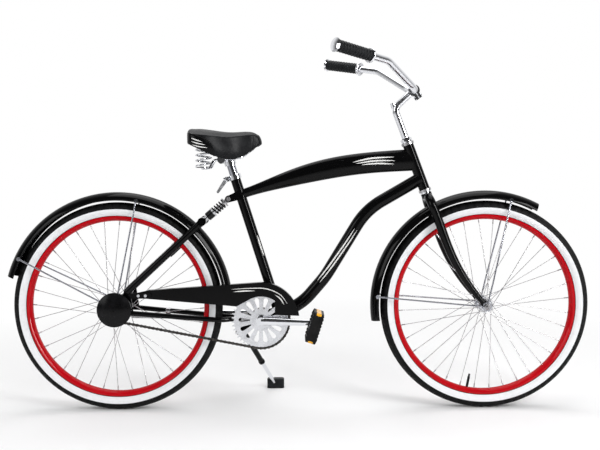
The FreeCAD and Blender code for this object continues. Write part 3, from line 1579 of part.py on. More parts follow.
def placed_pedal(flank):
    """A pedal hanging on its axle, nearly upright."""
    middle = crank_tip_y + pedal_boss_half + seat_fit + pedal_collar + air_gap + pedal_width / 2
    hung = level(crank_angle) * (crank_length * -flank) + Y_AXIS * (flank * middle)
    solids = pedal()
    for solid in solids:
        solid.rotate(ORIGIN, Z_AXIS, 0 if flank > 0 else 180)
        solid.rotate(ORIGIN, Y_AXIS, -pedal_pitch)
        solid.translate(bracket + hung)
    return solids


# Guard, cover and brake arm

def guard_shape(inset, spill, spill_angle):
    """The guard's outline; the upper edge is drawn in by inset and the lower edge spilled outwards."""
    centre = bracket
    front = guard_front_radius - inset

    def polar(radius, degrees):
        spot = centre + level(degrees) * radius
        return (spot.x, spot.z)

    shoulder = (centre.x, centre.z + front)
    back = (guard_back_x, rear_axle.z + guard_back_rise - inset)
    tip_top = (guard_tip_x - spill, rear_axle.z + guard_tip_rise + guard_tip_half - inset)
    tip_low = (guard_tip_x - spill, rear_axle.z + guard_tip_rise - guard_tip_half - spill)
    belly = (centre.x - guard_opening_radius, centre.z + guard_belly_rise - spill)
    opening = guard_opening_radius - spill
    middle_angle = sum(guard_opening_angles) / 2
    return [tip_low, tip_top, back, shoulder,
            (polar(front, (90 + guard_front_angle) / 2), polar(front, guard_front_angle)),
            polar(front, guard_front_angle - spill_angle),
            polar(guard_mouth_radius - spill, guard_mouth_angle),
            polar(opening, guard_opening_angles[0]),
            (polar(opening, middle_angle), polar(opening, guard_opening_angles[1])), belly]


def chain_guard():
    """A pressed side plate with a flange bent inwards along its upper and front edge."""
    near = -guard_plane - guard_sheet
    sheet = plate(guard_shape(0, 0, 0), near, -guard_plane)
    block = plate(guard_shape(0, 0, 0), near, -guard_plane + guard_depth)
    hollow = plate(guard_shape(guard_sheet, overrun, guard_spill_angle), near - overrun,
                   -guard_plane + guard_depth + overrun)
    tail = Part.makeBox(guard_flange_start, cut_reach, tyre_radius * 2, V(0, -cut_reach, 0))
    return joined([sheet, block.cut([hollow, tail])])


def guard_spot(x):
    return V(x, 0, rear_axle.z + guard_tip_rise)


def guard_screws():
    """The screws that tie the guard's tail to the tab on the right dropout."""
    face = rear_over_nuts / 2 + seat_fit + dropout_thickness
    solids = []
    for x in guard_screw_x:
        spot = guard_spot(x)
        solids.append(across(spot, -face - guard_screw_head, -face, guard_screw_radius))
    return solids


def axle_cover():
    """A domed round cover held on the right axle nut by a boss."""
    nut_foot = rear_over_nuts / 2 + dropout_thickness + stay_eye_thickness + 2 * seat_fit + washer_thickness
    nut_end = nut_foot + axle_nut_height
    skin = cover_plane - cover_wall
    rim = cover_plane - cover_dome
    boss = axle_nut_radius + air_gap
    drop, out = dome_middle(cover_dome, cover_radius)
    inner_drop, inner_out = dome_middle(cover_dome, cover_radius - cover_wall)
    dome = turned([(-cover_plane, 0), ((drop - cover_plane, out), (-rim, cover_radius)),
                   (cover_rim - rim, cover_radius), (cover_rim - rim, cover_radius - cover_wall),
                   (cover_wall - rim, cover_radius - cover_wall),
                   ((inner_drop - skin, inner_out), (-skin, 0))], rear_axle, Y_AXIS)
    neck = across(rear_axle, -skin, axle_nut_height / 2 - nut_end, boss + cover_boss_wall)
    end = across(rear_axle, -skin + cover_wall, 0, boss)
    return joined([dome, neck]).cut(end)


def brake_arm():
    """The coaster brake's arm from the axle to the left chainstay, with its strap and bolt."""
    high = rear_over_nuts / 2 - locknut_thickness - seat_fit
    low = high - brake_arm_thickness
    near = rear_over_nuts / 2 + (seat_fit + dropout_thickness) / 2
    end = V(chainstay_end_x, near, rear_axle.z - chainstay_end_drop)
    flare = V(bracket.x - chainstay_flare_behind, chainstay_flare_half, bracket_height)
    stay_way = (flare - end).normalize()
    stay_at = end + stay_way * ((brake_arm_length - end.x) / stay_way.x)
    strap_bore = chainstay_radius + seat_fit
    strap_radius = strap_bore + brake_strap_sheet
    half_strap = stay_way * (brake_strap_width / 2)
    tip = V(brake_arm_length, 0, stay_at.z - strap_radius - brake_arm_tip_radius - air_gap)
    knee_top = rear_axle.z - brake_arm_knee_drop
    body = plate([(rear_axle.x + brake_arm_hub_radius, rear_axle.z), (brake_arm_knee_x, knee_top),
                  (tip.x, tip.z + brake_arm_tip_radius),
                  ((tip.x + brake_arm_tip_radius, tip.z), (tip.x, tip.z - brake_arm_tip_radius)),
                  (brake_arm_knee_x - brake_arm_tip_radius, knee_top - 2 * brake_arm_tip_radius),
                  (rear_axle.x - brake_arm_hub_radius, rear_axle.z)], low, high)
    body = body.fuse(across(rear_axle, low, high, brake_arm_hub_radius)).removeSplitter()
    body = body.cut([across(rear_axle, 0, cut_reach, cone_radius + seat_fit),
                     across(tip, 0, cut_reach, brake_bolt_radius + seat_fit)])
    tab_near = high + seat_fit
    tab = plate([(tip.x - brake_strap_width / 2, tip.z - brake_bolt_head),
                 (tip.x + brake_strap_width / 2, tip.z - brake_bolt_head),
                 (tip.x + brake_strap_width / 2, stay_at.z), (tip.x - brake_strap_width / 2, stay_at.z)],
                tab_near, tab_near + brake_strap_sheet)
    strap = joined([cylinder(stay_at - half_strap, stay_at + half_strap, strap_radius), tab])
    strap = strap.cut([cylinder(stay_at - half_strap * 4, stay_at + half_strap * 4, strap_bore),
                       across(tip, 0, cut_reach, brake_bolt_radius + seat_fit)])
    out = tab_near + brake_strap_sheet + seat_fit
    bolt = joined([across(tip, low - seat_fit - brake_bolt_height, out + brake_bolt_height,
                          brake_bolt_radius),
                   across(tip, out, out + brake_bolt_height, brake_bolt_head),
                   hexagon(tip + Y_AXIS * (low - seat_fit - brake_bolt_height),
                           tip + Y_AXIS * (low - seat_fit), brake_bolt_head)])
    return [body, strap, bolt]


# Saddle

def saddle_form(draw, sink, spill):
    """The saddle's shape, drawn in at the sides and ends, with the top sunk and the lower edge spilled."""
    sections = []
    rows = zip(saddle_run_shares, saddle_width_shares, saddle_top_drops, saddle_skirt_drops, saddle_crowns)
    for run, width, top_drop, skirt_drop, crown in rows:
        x = saddle_x + draw + (saddle_length - 2 * draw) * run
        wide = saddle_half_width * width - draw
        top = saddle_top - top_drop - sink
        low = saddle_top - skirt_drop - spill
        edge = top - crown
        tuck = wide * saddle_tuck_share
        brow = wide * saddle_brow_share
        items = [(-tuck, low), ((-wide, (low + edge) / 2), (-brow, edge)), ((0, top), (brow, edge)),
                 ((wide, (low + edge) / 2), (tuck, low))]
        sections.append(outline(items, lambda place, height: V(x, place, height)))
    return Part.makeLoft(sections, True, False)


def saddle_cover():
    """The padded cover: a crowned block with a deep hollow underneath for the pan."""
    return saddle_form(0, 0, 0).cut(saddle_form(saddle_side, saddle_pad, overrun))


def pan_form(depth):
    """The pan's crowned top, carried down by a depth at every section."""
    draw = saddle_side + air_gap
    sections = []
    rows = zip(saddle_run_shares, saddle_width_shares, saddle_top_drops, saddle_crowns)
    for run, width, top_drop, crown in rows:
        x = saddle_x + draw + (saddle_length - 2 * draw) * run
        brow = (saddle_half_width * width - draw) * saddle_brow_share
        top = saddle_top - top_drop - saddle_pad - air_gap
        items = [(-brow, top - crown), ((0, top), (brow, top - crown)), (brow, top - crown - depth),
                 ((0, top - depth), (-brow, top - crown - depth))]
        sections.append(outline(items, lambda place, height: V(x, place, height)))
    return Part.makeLoft(sections, True, False)


def saddle_pan():
    """The moulded pan inside the cover, with a seat over each spring and two lugs at the nose."""
    block = pan_form(saddle_spring_height)
    shell = pan_form(pan_sheet)
    top = spring_foot.z + saddle_spring_height + air_gap
    pieces = [shell]
    nose = rail_nose
    for flank in (1, -1):
        foot = V(spring_foot.x, flank * spring_foot.y, top)
        pieces.append(cylinder(foot, foot + Z_AXIS * saddle_spring_height,
                               spring_plate_radius).common(block))
        near = flank * (nose_tube_half + air_gap)
        far = near + flank * nose_lug_thickness
        lug = plate([(nose.x - nose_lug_radius, nose.z),
                     ((nose.x, nose.z - nose_lug_radius), (nose.x + nose_lug_radius, nose.z)),
                     (nose.x + nose_lug_radius, saddle_top), (nose.x - nose_lug_radius, saddle_top)], near,
                     far)
        pieces.append(lug.common(block))
    reach = nose_tube_half + air_gap + nose_lug_thickness
    pieces.append(across(nose, -reach, reach, nose_pin_radius))
    return joined(pieces)


def saddle_rails():
    """Two bent rails from a tube on the nose pin to a plate under each spring."""
    nose = rail_nose
    pieces = [across(nose, -nose_tube_half, nose_tube_half, nose_tube_radius)]
    for flank in (1, -1):
        foot = under_saddle(saddle_spring_run, flank * saddle_spring_half, rail_low_drop)
        path = [under_saddle(rail_nose_run, flank * rail_nose_half, rail_nose_drop),
                under_saddle(rail_neck_run, flank * rail_nose_half, rail_neck_drop),
                under_saddle(rail_knee_run, flank * rail_knee_half, rail_knee_drop),
                under_saddle(rail_back_run, flank * rail_back_half, rail_back_drop),
                under_saddle(rail_low_run, flank * rail_low_half, rail_low_drop), foot]
        pieces.append(rod(path, rail_bends, rail_radius))
        seat = V(foot.x, foot.y, spring_foot.z - air_gap)
        pieces.append(cylinder(seat - Z_AXIS * spring_plate, seat, spring_plate_radius))
        pieces.append(Part.makeSphere(rail_radius, foot))
    return joined(pieces).cut(across(nose, -cut_reach, cut_reach, nose_pin_radius + running_fit))


def saddle_springs():
    """The pair of coil springs under the saddle's rear."""
    wires = []
    for flank in (1, -1):
        foot = V(spring_foot.x, flank * spring_foot.y, spring_foot.z)
        wire, gap = coil(foot, foot + Z_AXIS * saddle_spring_height, saddle_coil_radius, saddle_wire_radius,
                         saddle_turns)
        wires.append(wire)
    return wires, gap


def post_top():
    return seat_top + seat_up * post_above


def seatpost():
    """A straight tube post with a closed top."""
    foot = seat_top - seat_up * post_below
    body = cylinder(foot, post_top(), post_radius)
    return body.cut(cylinder(foot - seat_up * overrun, post_top() - seat_up * post_cap, post_bore))


def rail_at(flank):
    """The middle of a rail where the clamp holds it, and the rail's direction."""
    knee = under_saddle(rail_knee_run, flank * rail_knee_half, rail_knee_drop)
    back = under_saddle(rail_back_run, flank * rail_back_half, rail_back_drop)
    way = (back - knee).normalize()
    return knee + way * ((rail_clamp_run - rail_knee_run) / way.x), way


def saddle_clamp():
    """The clamp on the post: a band round the post, a cross bar behind it and a grip on each rail."""
    top = post_top() + seat_up * seat_fit
    band = cylinder(top - seat_up * post_clamp_height, top, post_clamp_radius)
    spot, way = rail_at(1)
    middle = V(spot.x, 0, spot.z)
    bar = across(middle, -rail_clamp_outer, rail_clamp_outer, rail_clamp_waist)
    grips_on = [across(middle, flank * rail_clamp_inner, flank * rail_clamp_outer,
                       rail_clamp_radius) for flank in (1, -1)]
    solid = joined([band, bar] + grips_on)
    solid = solid.cut(cylinder(seat_top, top + seat_up * overrun, post_radius + running_fit))
    for flank in (1, -1):
        spot, way = rail_at(flank)
        reach = way * (rail_clamp_radius * 2)
        solid = solid.cut(cylinder(spot - reach, spot + reach, rail_radius + running_fit))
    low = middle - Z_AXIS * (rail_radius + rail_clamp_bolt + 2 * air_gap)
    solid = solid.cut(across(low, -cut_reach, cut_reach, rail_clamp_bolt + seat_fit))
    face = rail_clamp_outer + seat_fit
    end = face + rail_clamp_nut_height
    bolt = joined([across(low, -end, end, rail_clamp_bolt),
                   hexagon(low + Y_AXIS * face, low + Y_AXIS * end, rail_clamp_nut),
                   hexagon(low - Y_AXIS * face, low - Y_AXIS * end, rail_clamp_nut)])
    return [solid, bolt]


# Seat clamp and lever

seat_back = level(270 - seat_angle)
skewer_at = seat_collar_middle + seat_back * (seat_collar_radius + collar_ear_reach / 2)
ear_out = collar_slit / 2 + collar_ear_thickness
lever_pivot = skewer_at - Y_AXIS * (ear_out + air_gap + lever_hub_radius)
lever_way = level(180 + lever_slope)
lever_axis = level(90 + lever_slope)


def seat_clamp():
    """The split collar on the seat tube, and the skewer with its eye, cross pin and nut."""
    up = seat_up * (seat_collar_height / 2)
    start = seat_collar_middle + seat_back * seat_tube_radius
    end = seat_collar_middle + seat_back * (seat_collar_radius + collar_ear_reach)
    corners = [start - up, end - up, end + up, start + up]
    ears = plate([(corner.x, corner.z) for corner in corners], -ear_out, ear_out)
    solid = joined([cylinder(seat_collar_middle - up, seat_collar_middle + up, seat_collar_radius), ears])
    far = end + seat_back * overrun
    slit_corners = [start - up * 2, far - up * 2, far + up * 2, start + up * 2]
    slit = plate([(corner.x, corner.z) for corner in slit_corners], -collar_slit / 2, collar_slit / 2)
    core = cylinder(seat_collar_middle - up * 2, seat_collar_middle + up * 2,
                    seat_tube_radius + running_fit)
    hole = across(skewer_at, -cut_reach, cut_reach, skewer_radius + seat_fit)
    solid = solid.cut([core, slit, hole])
    half_eye = lever_axis * (skewer_eye_thickness / 2)
    half_pin = lever_axis * (lever_width / 2)
    nut_face = ear_out + seat_fit
    skewer = joined([cylinder(lever_pivot, skewer_at + Y_AXIS * (nut_face + skewer_nut_height),
                              skewer_radius),
                     cylinder(lever_pivot - half_eye, lever_pivot + half_eye, skewer_eye_radius),
                     cylinder(lever_pivot - half_pin, lever_pivot + half_pin, lever_pin_radius),
                     across(skewer_at, nut_face, nut_face + skewer_nut_height, skewer_nut_radius)])
    return [solid, skewer]


def seat_clamp_lever():
    """The cam lever: two cheeks on the cross pin and a tapering blade."""
    half = lever_axis * (lever_width / 2)
    cheeks = cylinder(lever_pivot - half, lever_pivot + half, lever_hub_radius)
    near = lever_pivot.y - lever_thickness / 2
    root = lever_pivot + lever_way * (skewer_eye_radius + air_gap)
    tip = lever_pivot + lever_way * lever_length
    side = lever_axis * (lever_tip_width / 2)
    spots = [root - half, tip - side, tip + lever_way * (lever_tip_width / 2), tip + side, root + half]
    flat = [(spot.x, spot.z) for spot in spots]
    blade = plate([flat[0], flat[1], (flat[2], flat[3]), flat[4]], near, near + lever_thickness)
    slot_half = lever_axis * (skewer_eye_thickness / 2 + air_gap)
    slot = cylinder(lever_pivot - slot_half, lever_pivot + slot_half, lever_hub_radius + overrun)
    bore = cylinder(lever_pivot - half * 2, lever_pivot + half * 2, lever_pin_radius + running_fit)
    return joined([cheeks.cut(slot), blade]).cut(bore)


# Kickstand

def kickstand_leg():
    """The upper leg: an eye on the pivot pin, a tube and the clip at its lower end."""
    half = stand_axis * (stand_eye_length / 2)
    end = stand_pivot + stand_down * (stand_reach * stand_leg_share)
    body = joined([cylinder(stand_pivot - half, stand_pivot + half, stand_eye_radius),
                   cylinder(stand_pivot, end, stand_leg_radius),
                   cylinder(end - stand_down * stand_clip_length, end, stand_clip_radius)])
    pin_hole = cylinder(stand_pivot - half * 2, stand_pivot + half * 2, stand_pin_radius + running_fit)
    rod_hole = cylinder(end - stand_down * stand_rod_in, end + stand_down * overrun,
                        stand_rod_radius + running_fit)
    return body.cut([pin_hole, rod_hole])


def kickstand_rod():
    end = stand_pivot + stand_down * (stand_reach * stand_leg_share)
    return cylinder(end - stand_down * (stand_rod_in - air_gap), stand_foot, stand_rod_radius)


def kickstand_foot():
    """A rubber foot that lies flat on the ground while the bicycle leans on it."""
    low = V(stand_foot_x - stand_foot_length / 2, stand_foot_half - stand_foot_width / 2, ground)
    block = Part.makeBox(stand_foot_length, stand_foot_width, stand_foot_height, low)
    block = block.makeFillet(stand_foot_corner, upright_edges(block))
    top = max(block.Faces, key=lambda face: face.CenterOfMass.z)
    block = block.makeFillet(stand_foot_brow, top.Edges)
    block.Placement = FreeCAD.Placement(ORIGIN, lean_turn.inverted())
    return block.cut(cylinder(stand_pivot, stand_foot, stand_rod_radius + running_fit))


# Every node, in the bicycle's own frame

def moved(shapes, place):
    """Shapes carried from the origin to a place."""
    copies = shapes if isinstance(shapes, list) else [shapes]
    for copy in copies:
        copy.translate(place)
    return copies


def both(shape):
    return [shape, mirrored(shape)]


nodes = {}
front_wheel = wheel(front_valve_angle, front_flange_radius, front_flange_place, front_barrel_radius,
                    front_hub_end, front_hub_end_radius)
rear_wheel = wheel(rear_valve_angle, rear_flange_radius, rear_flange_place, rear_barrel_radius,
                   rear_hub_end, rear_hub_end_radius)
for name, shapes in front_wheel.items():
    nodes["front_" + name] = moved(shapes, front_axle)
for name, shapes in rear_wheel.items():
    nodes["rear_" + name] = moved(shapes, rear_axle)
nodes["head_tube"] = head_tube()
nodes["top_tube"] = top_tube()
nodes["down_tube"] = down_tube()
nodes["seat_tube"] = seat_tube()
nodes["bottom_bracket_shell"] = bottom_bracket_shell()
nodes["shock_bracket"] = shock_bracket()
nodes["headset_bearings"] = headset_bearings()
nodes["crank_bearings"] = crank_bearings()
nodes["pivot_bolts"] = pivot_bolts()
nodes["seat_clamp"] = seat_clamp()
nodes["seat_clamp_lever"] = seat_clamp_lever()
nodes["seatpost"] = seatpost()
nodes["saddle_clamp"] = saddle_clamp()
nodes["saddle_rails"] = saddle_rails()
nodes["saddle_pan"] = saddle_pan()
nodes["saddle_cover"] = saddle_cover()
nodes["saddle_springs"], saddle_gap = saddle_springs()
nodes["fork_crown"] = fork_crown()
nodes["fork_blades"] = both(fork_blade())
nodes["headset_nuts"] = headset_nuts()
nodes["stem"] = stem()
nodes["stem_bolts"] = stem_bolts()
nodes["handlebar"] = handlebar()
nodes["grips"] = both(grip())
nodes["grip_fittings"] = both(grip_cap()) + both(grip_collar())
nodes["front_fender"] = moved(fender(front_fender_angles), front_axle)
nodes["rear_fender"] = moved(fender(rear_fender_angles), rear_axle)
crown_middle = crown_point(0, crown_drop)
front_bolt = fender_bolt(front_axle, crown_middle, [nodes["front_fender"][0], nodes["fork_crown"]])
nodes["front_fender_stays"] = moved(fender_stays(front_over_nuts, front_stay_angles),
                                    front_axle) + [front_bolt]
nodes["front_axle"] = moved(axle_set(front_over_nuts, front_hub_end), front_axle)
nodes["rear_sprocket"] = rear_sprocket()
nodes["chainstays"] = chainstays()
nodes["seatstays"] = [side.cut(nodes["chainstays"]) for side in both(seatstay())] + [lower_shock_bolt()]
rear_bolt = fender_bolt(rear_axle, shock_low + Y_AXIS * (shock_eye_half + yoke_radius),
                        [nodes["rear_fender"][0]] + nodes["seatstays"])
nodes["rear_fender_stays"] = moved(fender_stays(rear_over_nuts, rear_stay_angles),
                                   rear_axle) + both(rear_bolt)
nodes["rear_axle"] = moved(axle_set(rear_over_nuts, rear_hub_end), rear_axle)
nodes["brake_arm"] = brake_arm()
nodes["chain_guard"] = chain_guard()
nodes["guard_screws"] = guard_screws()
nodes["chain"] = chain()
nodes["axle_cover"] = axle_cover()
nodes["shock_body"] = shock_body()
nodes["shock_rod"] = shock_rod()
nodes["shock_spring"], shock_gap = shock_spring()
nodes["crank"] = crank()
nodes["chainring"] = chainring()
right_axle = pedal_axle()
nodes["pedal_axles"] = [turned_arm(other_arm(right_axle)), turned_arm(right_axle)]
nodes["right_pedal"] = placed_pedal(-1)
nodes["left_pedal"] = placed_pedal(1)
nodes["kickstand_leg"] = kickstand_leg()
nodes["kickstand_lower_leg"] = kickstand_rod()
nodes["kickstand_foot"] = kickstand_foot()
print("least gap between turns: shock", round(shock_gap, 2), "saddle", round(saddle_gap, 2))

# The whole bicycle leans on its stand and is centred on the ground

leaned = FreeCAD.Placement(ORIGIN, lean_turn)


def solid_list(shapes):
    return shapes if isinstance(shapes, list) else [shapes]


def leaning_box(name):
    whole = Part.makeCompound(solid_list(nodes[name]))
    whole.Placement = leaned
    return whole.optimalBoundingBox(False)


tail_box = leaning_box("rear_fender")
tread_box = leaning_box("front_tyre")
grip_box = leaning_box("grip_fittings")
shift = V(-(tail_box.XMin + tread_box.XMax) / 2, -(grip_box.YMin + grip_box.YMax) / 2, -tread_box.ZMin)
row_place = FreeCAD.Placement(shift, lean_turn)
os.makedirs("parts", exist_ok=True)
for name, shapes in nodes.items():
    solids = solid_list(shapes)
    whole = solids[0].copy() if len(solids) == 1 else Part.makeCompound(solids)
    whole.Placement = row_place.multiply(whole.Placement)
    whole.exportStep("parts/" + name + ".step")
print("nodes", len(nodes), "shift", shift)
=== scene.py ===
# %% [markdown]
# # A beach cruiser bicycle
# The bicycle comes in as a packed assembly: each rigid piece is already at its real size and
# place, in metres. This lesson adds what bare solids lack: paint, plating and rubber, tyres
# with a tread, wound springs, a stuffed saddle, pedal lenses and painted lines.

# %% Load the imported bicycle
import json
import math

import bmesh
import bpy
import numpy as np
from mathutils import Matrix, Vector


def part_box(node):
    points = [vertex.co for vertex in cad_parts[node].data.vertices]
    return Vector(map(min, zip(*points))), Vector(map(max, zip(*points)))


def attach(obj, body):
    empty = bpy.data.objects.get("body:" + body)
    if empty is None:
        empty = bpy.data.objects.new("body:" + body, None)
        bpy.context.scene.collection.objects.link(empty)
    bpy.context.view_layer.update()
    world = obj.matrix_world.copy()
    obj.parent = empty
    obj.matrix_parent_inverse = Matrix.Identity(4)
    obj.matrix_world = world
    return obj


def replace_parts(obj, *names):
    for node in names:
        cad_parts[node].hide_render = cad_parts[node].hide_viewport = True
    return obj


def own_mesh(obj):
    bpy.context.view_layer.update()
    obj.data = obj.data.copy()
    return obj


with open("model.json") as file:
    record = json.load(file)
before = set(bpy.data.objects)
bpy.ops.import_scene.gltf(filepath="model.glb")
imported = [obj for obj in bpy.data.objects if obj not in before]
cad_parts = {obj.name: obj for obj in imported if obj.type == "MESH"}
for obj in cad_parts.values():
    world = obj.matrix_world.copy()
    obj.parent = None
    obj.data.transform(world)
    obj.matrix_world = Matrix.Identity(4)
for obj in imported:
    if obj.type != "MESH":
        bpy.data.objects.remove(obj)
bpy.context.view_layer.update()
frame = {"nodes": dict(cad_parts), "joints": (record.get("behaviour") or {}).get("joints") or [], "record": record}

# %% [markdown]
# A bicycle maker measures from the rear axle: so far ahead, so far to the left, so high above
# the ground. The real one stands on its kickstand and leans a little, so those three directions
# are turned against the world. Taking them from the rear wheel's joint keeps one truth: where
# the axle goes, everything measured from it goes too.

# %% Bicycle places to world places
MM = 0.001
AXLE_HEIGHT = 330.0
joints = {joint["name"]: joint for joint in frame["joints"]}
rear_hub = np.array(joints["rear_wheel_spin"]["pos_m"])
leftward = np.array(joints["rear_wheel_spin"]["axis"])
ahead = np.array([1.0, 0.0, 0.0])
upright = np.cross(ahead, leftward)
axes = np.stack([ahead, leftward, upright])


def place(points):
    """Rear hub + x along ahead + y along leftward + (z - axle height) along upright, mm to m."""
    return rear_hub + MM * (np.asarray(points, float) - [0, 0, AXLE_HEIGHT]) @ axes


print("ground under the rear wheel", place([0, 0, 0]).round(4))

# %% [markdown]
# Shader maths gets long when each sum is a node placed by hand. A small class around a socket
# lets Python's own signs add the Math nodes, so a mask reads like a formula. Every other node
# comes from one method: its kind, its settings, then its sockets. A finish is such a set of nodes
# around one shader; the room's light uses the same method later.

# %% Shader arithmetic
class Wire:
    """One output socket. A sum, difference or product on it adds a Math node."""

    def __init__(self, nodes, socket):
        self.nodes = nodes
        self.socket = socket

    def maths(self, operation, first, second):
        return self.nodes.add("Math", {"operation": operation}, {0: first, 1: second})

    def __add__(self, other):
        return self.maths("ADD", self, other)

    __radd__ = __add__

    def __sub__(self, other):
        return self.maths("SUBTRACT", self, other)

    def __rsub__(self, other):
        return self.maths("SUBTRACT", other, self)

    def __mul__(self, other):
        return self.maths("MULTIPLY", self, other)

    __rmul__ = __mul__


class Nodes:
    """A node tree being filled: every node in it comes from add()."""

    def __init__(self, tree):
        self.tree = tree

    def add(self, kind, settings, sockets, output=0):
        """Adds a node of that kind, sets it up, then fills its sockets with values or wires."""
        node = self.tree.nodes.new("ShaderNode" + kind)
        for name, value in settings.items():
            setattr(node, name, value)
        for name, value in sockets.items():
            if isinstance(value, Wire):
                self.tree.links.new(value.socket, node.inputs[name])
            else:
                node.inputs[name].default_value = value
        return Wire(self, node.outputs[output])

    def spot(self):
        """The point being shaded, in metres."""
        return self.add("TexCoord", {}, {}, "Object")

    def noise(self, scale, detail):
        """Soft random patches, about 1 / scale metres wide."""
        return self.add("TexNoise", {}, {"Vector": self.spot(), "Scale": scale, "Detail": detail})

    def between(self, value, low, high, start=0.0, end=1.0):
        """The value's stretch from low to high, laid over start to end and held there."""
        sockets = {"Value": value, "From Min": low, "From Max": high, "To Min": start, "To Max": end}
        return self.add("MapRange", {"clamp": True}, sockets)

    def within(self, value, low, high, edge):
        """1 from low to high and 0 outside, with steps one edge wide."""
        return self.between(value, low, low + edge) * (1 - self.between(value, high, high + edge))

    def blend(self, factor, first, second):
        """One colour turning into another."""
        return self.add("Mix", {"data_type": "RGBA"}, {0: factor, 6: first, 7: second}, 2)

    def bump(self, height, distance, strength=1.0):
        """A normal that leans with a height, distance metres from lowest to highest."""
        return self.add("Bump", {}, {"Height": height, "Distance": distance, "Strength": strength})


class Finish(Nodes):
    """A material being made: constants go straight on the shader, what varies is fed to it."""

    def __init__(self, name, **constants):
        self.material = bpy.data.materials.new(name)
        self.material.use_nodes = True
        super().__init__(self.material.node_tree)
        self.shader = self.tree.nodes["Principled BSDF"]
        for socket, value in constants.items():
            self.shader.inputs[socket.replace("_", " ")].default_value = value

    def feed(self, **wires):
        """Links wires to the shader's own sockets."""
        for socket, wire in wires.items():
            self.tree.links.new(wire.socket, self.shader.inputs[socket.replace("_", " ")])
        return self.material


def rgb(red, green, blue):
    """A colour in linear light."""
    return (red, green, blue, 1.0)


print("shader helpers ready")

# %% [markdown]
# The frame, fork, fenders and guard are black baked enamel under clear lacquer. Lacquer is never
# flat: it dries with a faint ripple, called orange peel, and dust leaves duller patches. The
# pigment stays nearly black, and the coat makes the gloss.

# %% Enamel
ORANGE_PEEL = 0.00002  # metres from trough to crest


def enamel(name, dark, light):
    """Pigment between two close shades, a clear coat, orange peel 3 mm wide and dull dust film."""
    finish = Finish(name, Specular_IOR_Level=0.05, Coat_Weight=0.18, Coat_Roughness=0.02)
    patches = finish.noise(9.0, 4.0)
    film = finish.between(finish.noise(60.0, 6.0), 0.45, 0.75)
    ripple = finish.noise(330.0, 1.0)
    return finish.feed(
        Base_Color=finish.blend(patches, dark, light),
        Roughness=0.10 + 0.06 * patches + 0.08 * film,
        Normal=finish.bump(ripple, ORANGE_PEEL),
    )


black_paint = enamel("black_enamel", rgb(0.0012, 0.0012, 0.0013), rgb(0.0030, 0.0029, 0.0032))
red_paint = enamel("red_enamel", rgb(0.40, 0.0022, 0.006), rgb(0.52, 0.0040, 0.0100))
print("enamels", black_paint.name, red_paint.name)

# %% [markdown]
# Bright parts are steel plated with chromium: a near mirror with fine polishing marks and the
# haze of fingers and rain. Only the roughness changes from place to place, because a plated skin
# keeps one colour. Bare steel and cast alloy are duller and take a stained colour too.

# %% Plating and bare metal
POLISH_DEPTH, GRAIN_DEPTH = 0.000012, 0.00002  # metres


def plated(name, colour, smooth, rough, grain):
    """A metal whose roughness runs from smooth to rough in smudges, with fine polishing grain."""
    finish = Finish(name, Base_Color=colour, Metallic=1.0)
    smudge = finish.between(finish.noise(35.0, 5.0), 0.35, 0.75)
    scratch = finish.noise(grain, 3.0)
    return finish.feed(
        Roughness=smooth + (rough - smooth) * smudge * (0.6 + 0.4 * scratch),
        Normal=finish.bump(scratch, POLISH_DEPTH),
    )


def bare_metal(name, clean, stained, smooth, rough):
    """A metal whose colour and roughness both run from clean to stained in blotches."""
    finish = Finish(name, Metallic=1.0)
    blotch = finish.between(finish.noise(140.0, 6.0), 0.35, 0.70)
    grain = finish.noise(2600.0, 2.0)
    return finish.feed(
        Base_Color=finish.blend(blotch, clean, stained),
        Roughness=smooth + (rough - smooth) * blotch,
        Normal=finish.bump(grain, GRAIN_DEPTH),
    )


chrome = plated("chrome_plate", rgb(0.80, 0.81, 0.84), smooth=0.03, rough=0.16, grain=1400.0)
hub_chrome = plated("hub_plate", rgb(0.70, 0.71, 0.74), smooth=0.10, rough=0.30, grain=2200.0)
# A darker copy of the chrome for the thin stays and the seatpost: its low colour is a painted dark reflection.
chrome_painted_darker = plated("stay_plate", rgb(0.40, 0.41, 0.45), smooth=0.04, rough=0.18, grain=1400.0)
ring_silver = plated("chainring_plate", rgb(0.83, 0.84, 0.87), smooth=0.20, rough=0.40, grain=900.0)
steel = bare_metal("bright_steel", rgb(0.56, 0.56, 0.58), rgb(0.36, 0.35, 0.35),
                   smooth=0.22, rough=0.42)
oiled_steel = bare_metal("oiled_chain", rgb(0.10, 0.095, 0.09), rgb(0.028, 0.024, 0.021),
                         smooth=0.30, rough=0.55)
alloy = bare_metal("cast_alloy", rgb(0.62, 0.63, 0.65), rgb(0.44, 0.44, 0.46),
                   smooth=0.28, rough=0.45)
metals = (chrome, hub_chrome, chrome_painted_darker, ring_silver, steel, oiled_steel, alloy)
print("metals", [metal.name for metal in metals])

# %% [markdown]
# Rubber and moulded plastic scatter light at a rough skin. Grips, the stand's foot and the inner
# tubes are soft black rubber with a bloom of grey; pedals and the saddle's pan are moulded with a
# spark texture; the round cover over the rear axle is a smoother, glossier moulding.

# %% Rubber and plastics
def moulded(name, dark, light, smooth, rough, pebble, depth):
    """A dull black whose bloom lightens it in patches, with pebbles so many metres wide and deep."""
    finish = Finish(name, Specular_IOR_Level=0.14)
    bloom = finish.between(finish.noise(45.0, 5.0), 0.35, 0.80)
    sockets = {"Vector": finish.spot(), "Scale": 1.0 / pebble}
    cells = finish.add("TexVoronoi", {}, sockets, "Distance")
    return finish.feed(
        Base_Color=finish.blend(bloom, dark, light),
        Roughness=smooth + (rough - smooth) * bloom,
        Normal=finish.bump(cells, depth),
    )


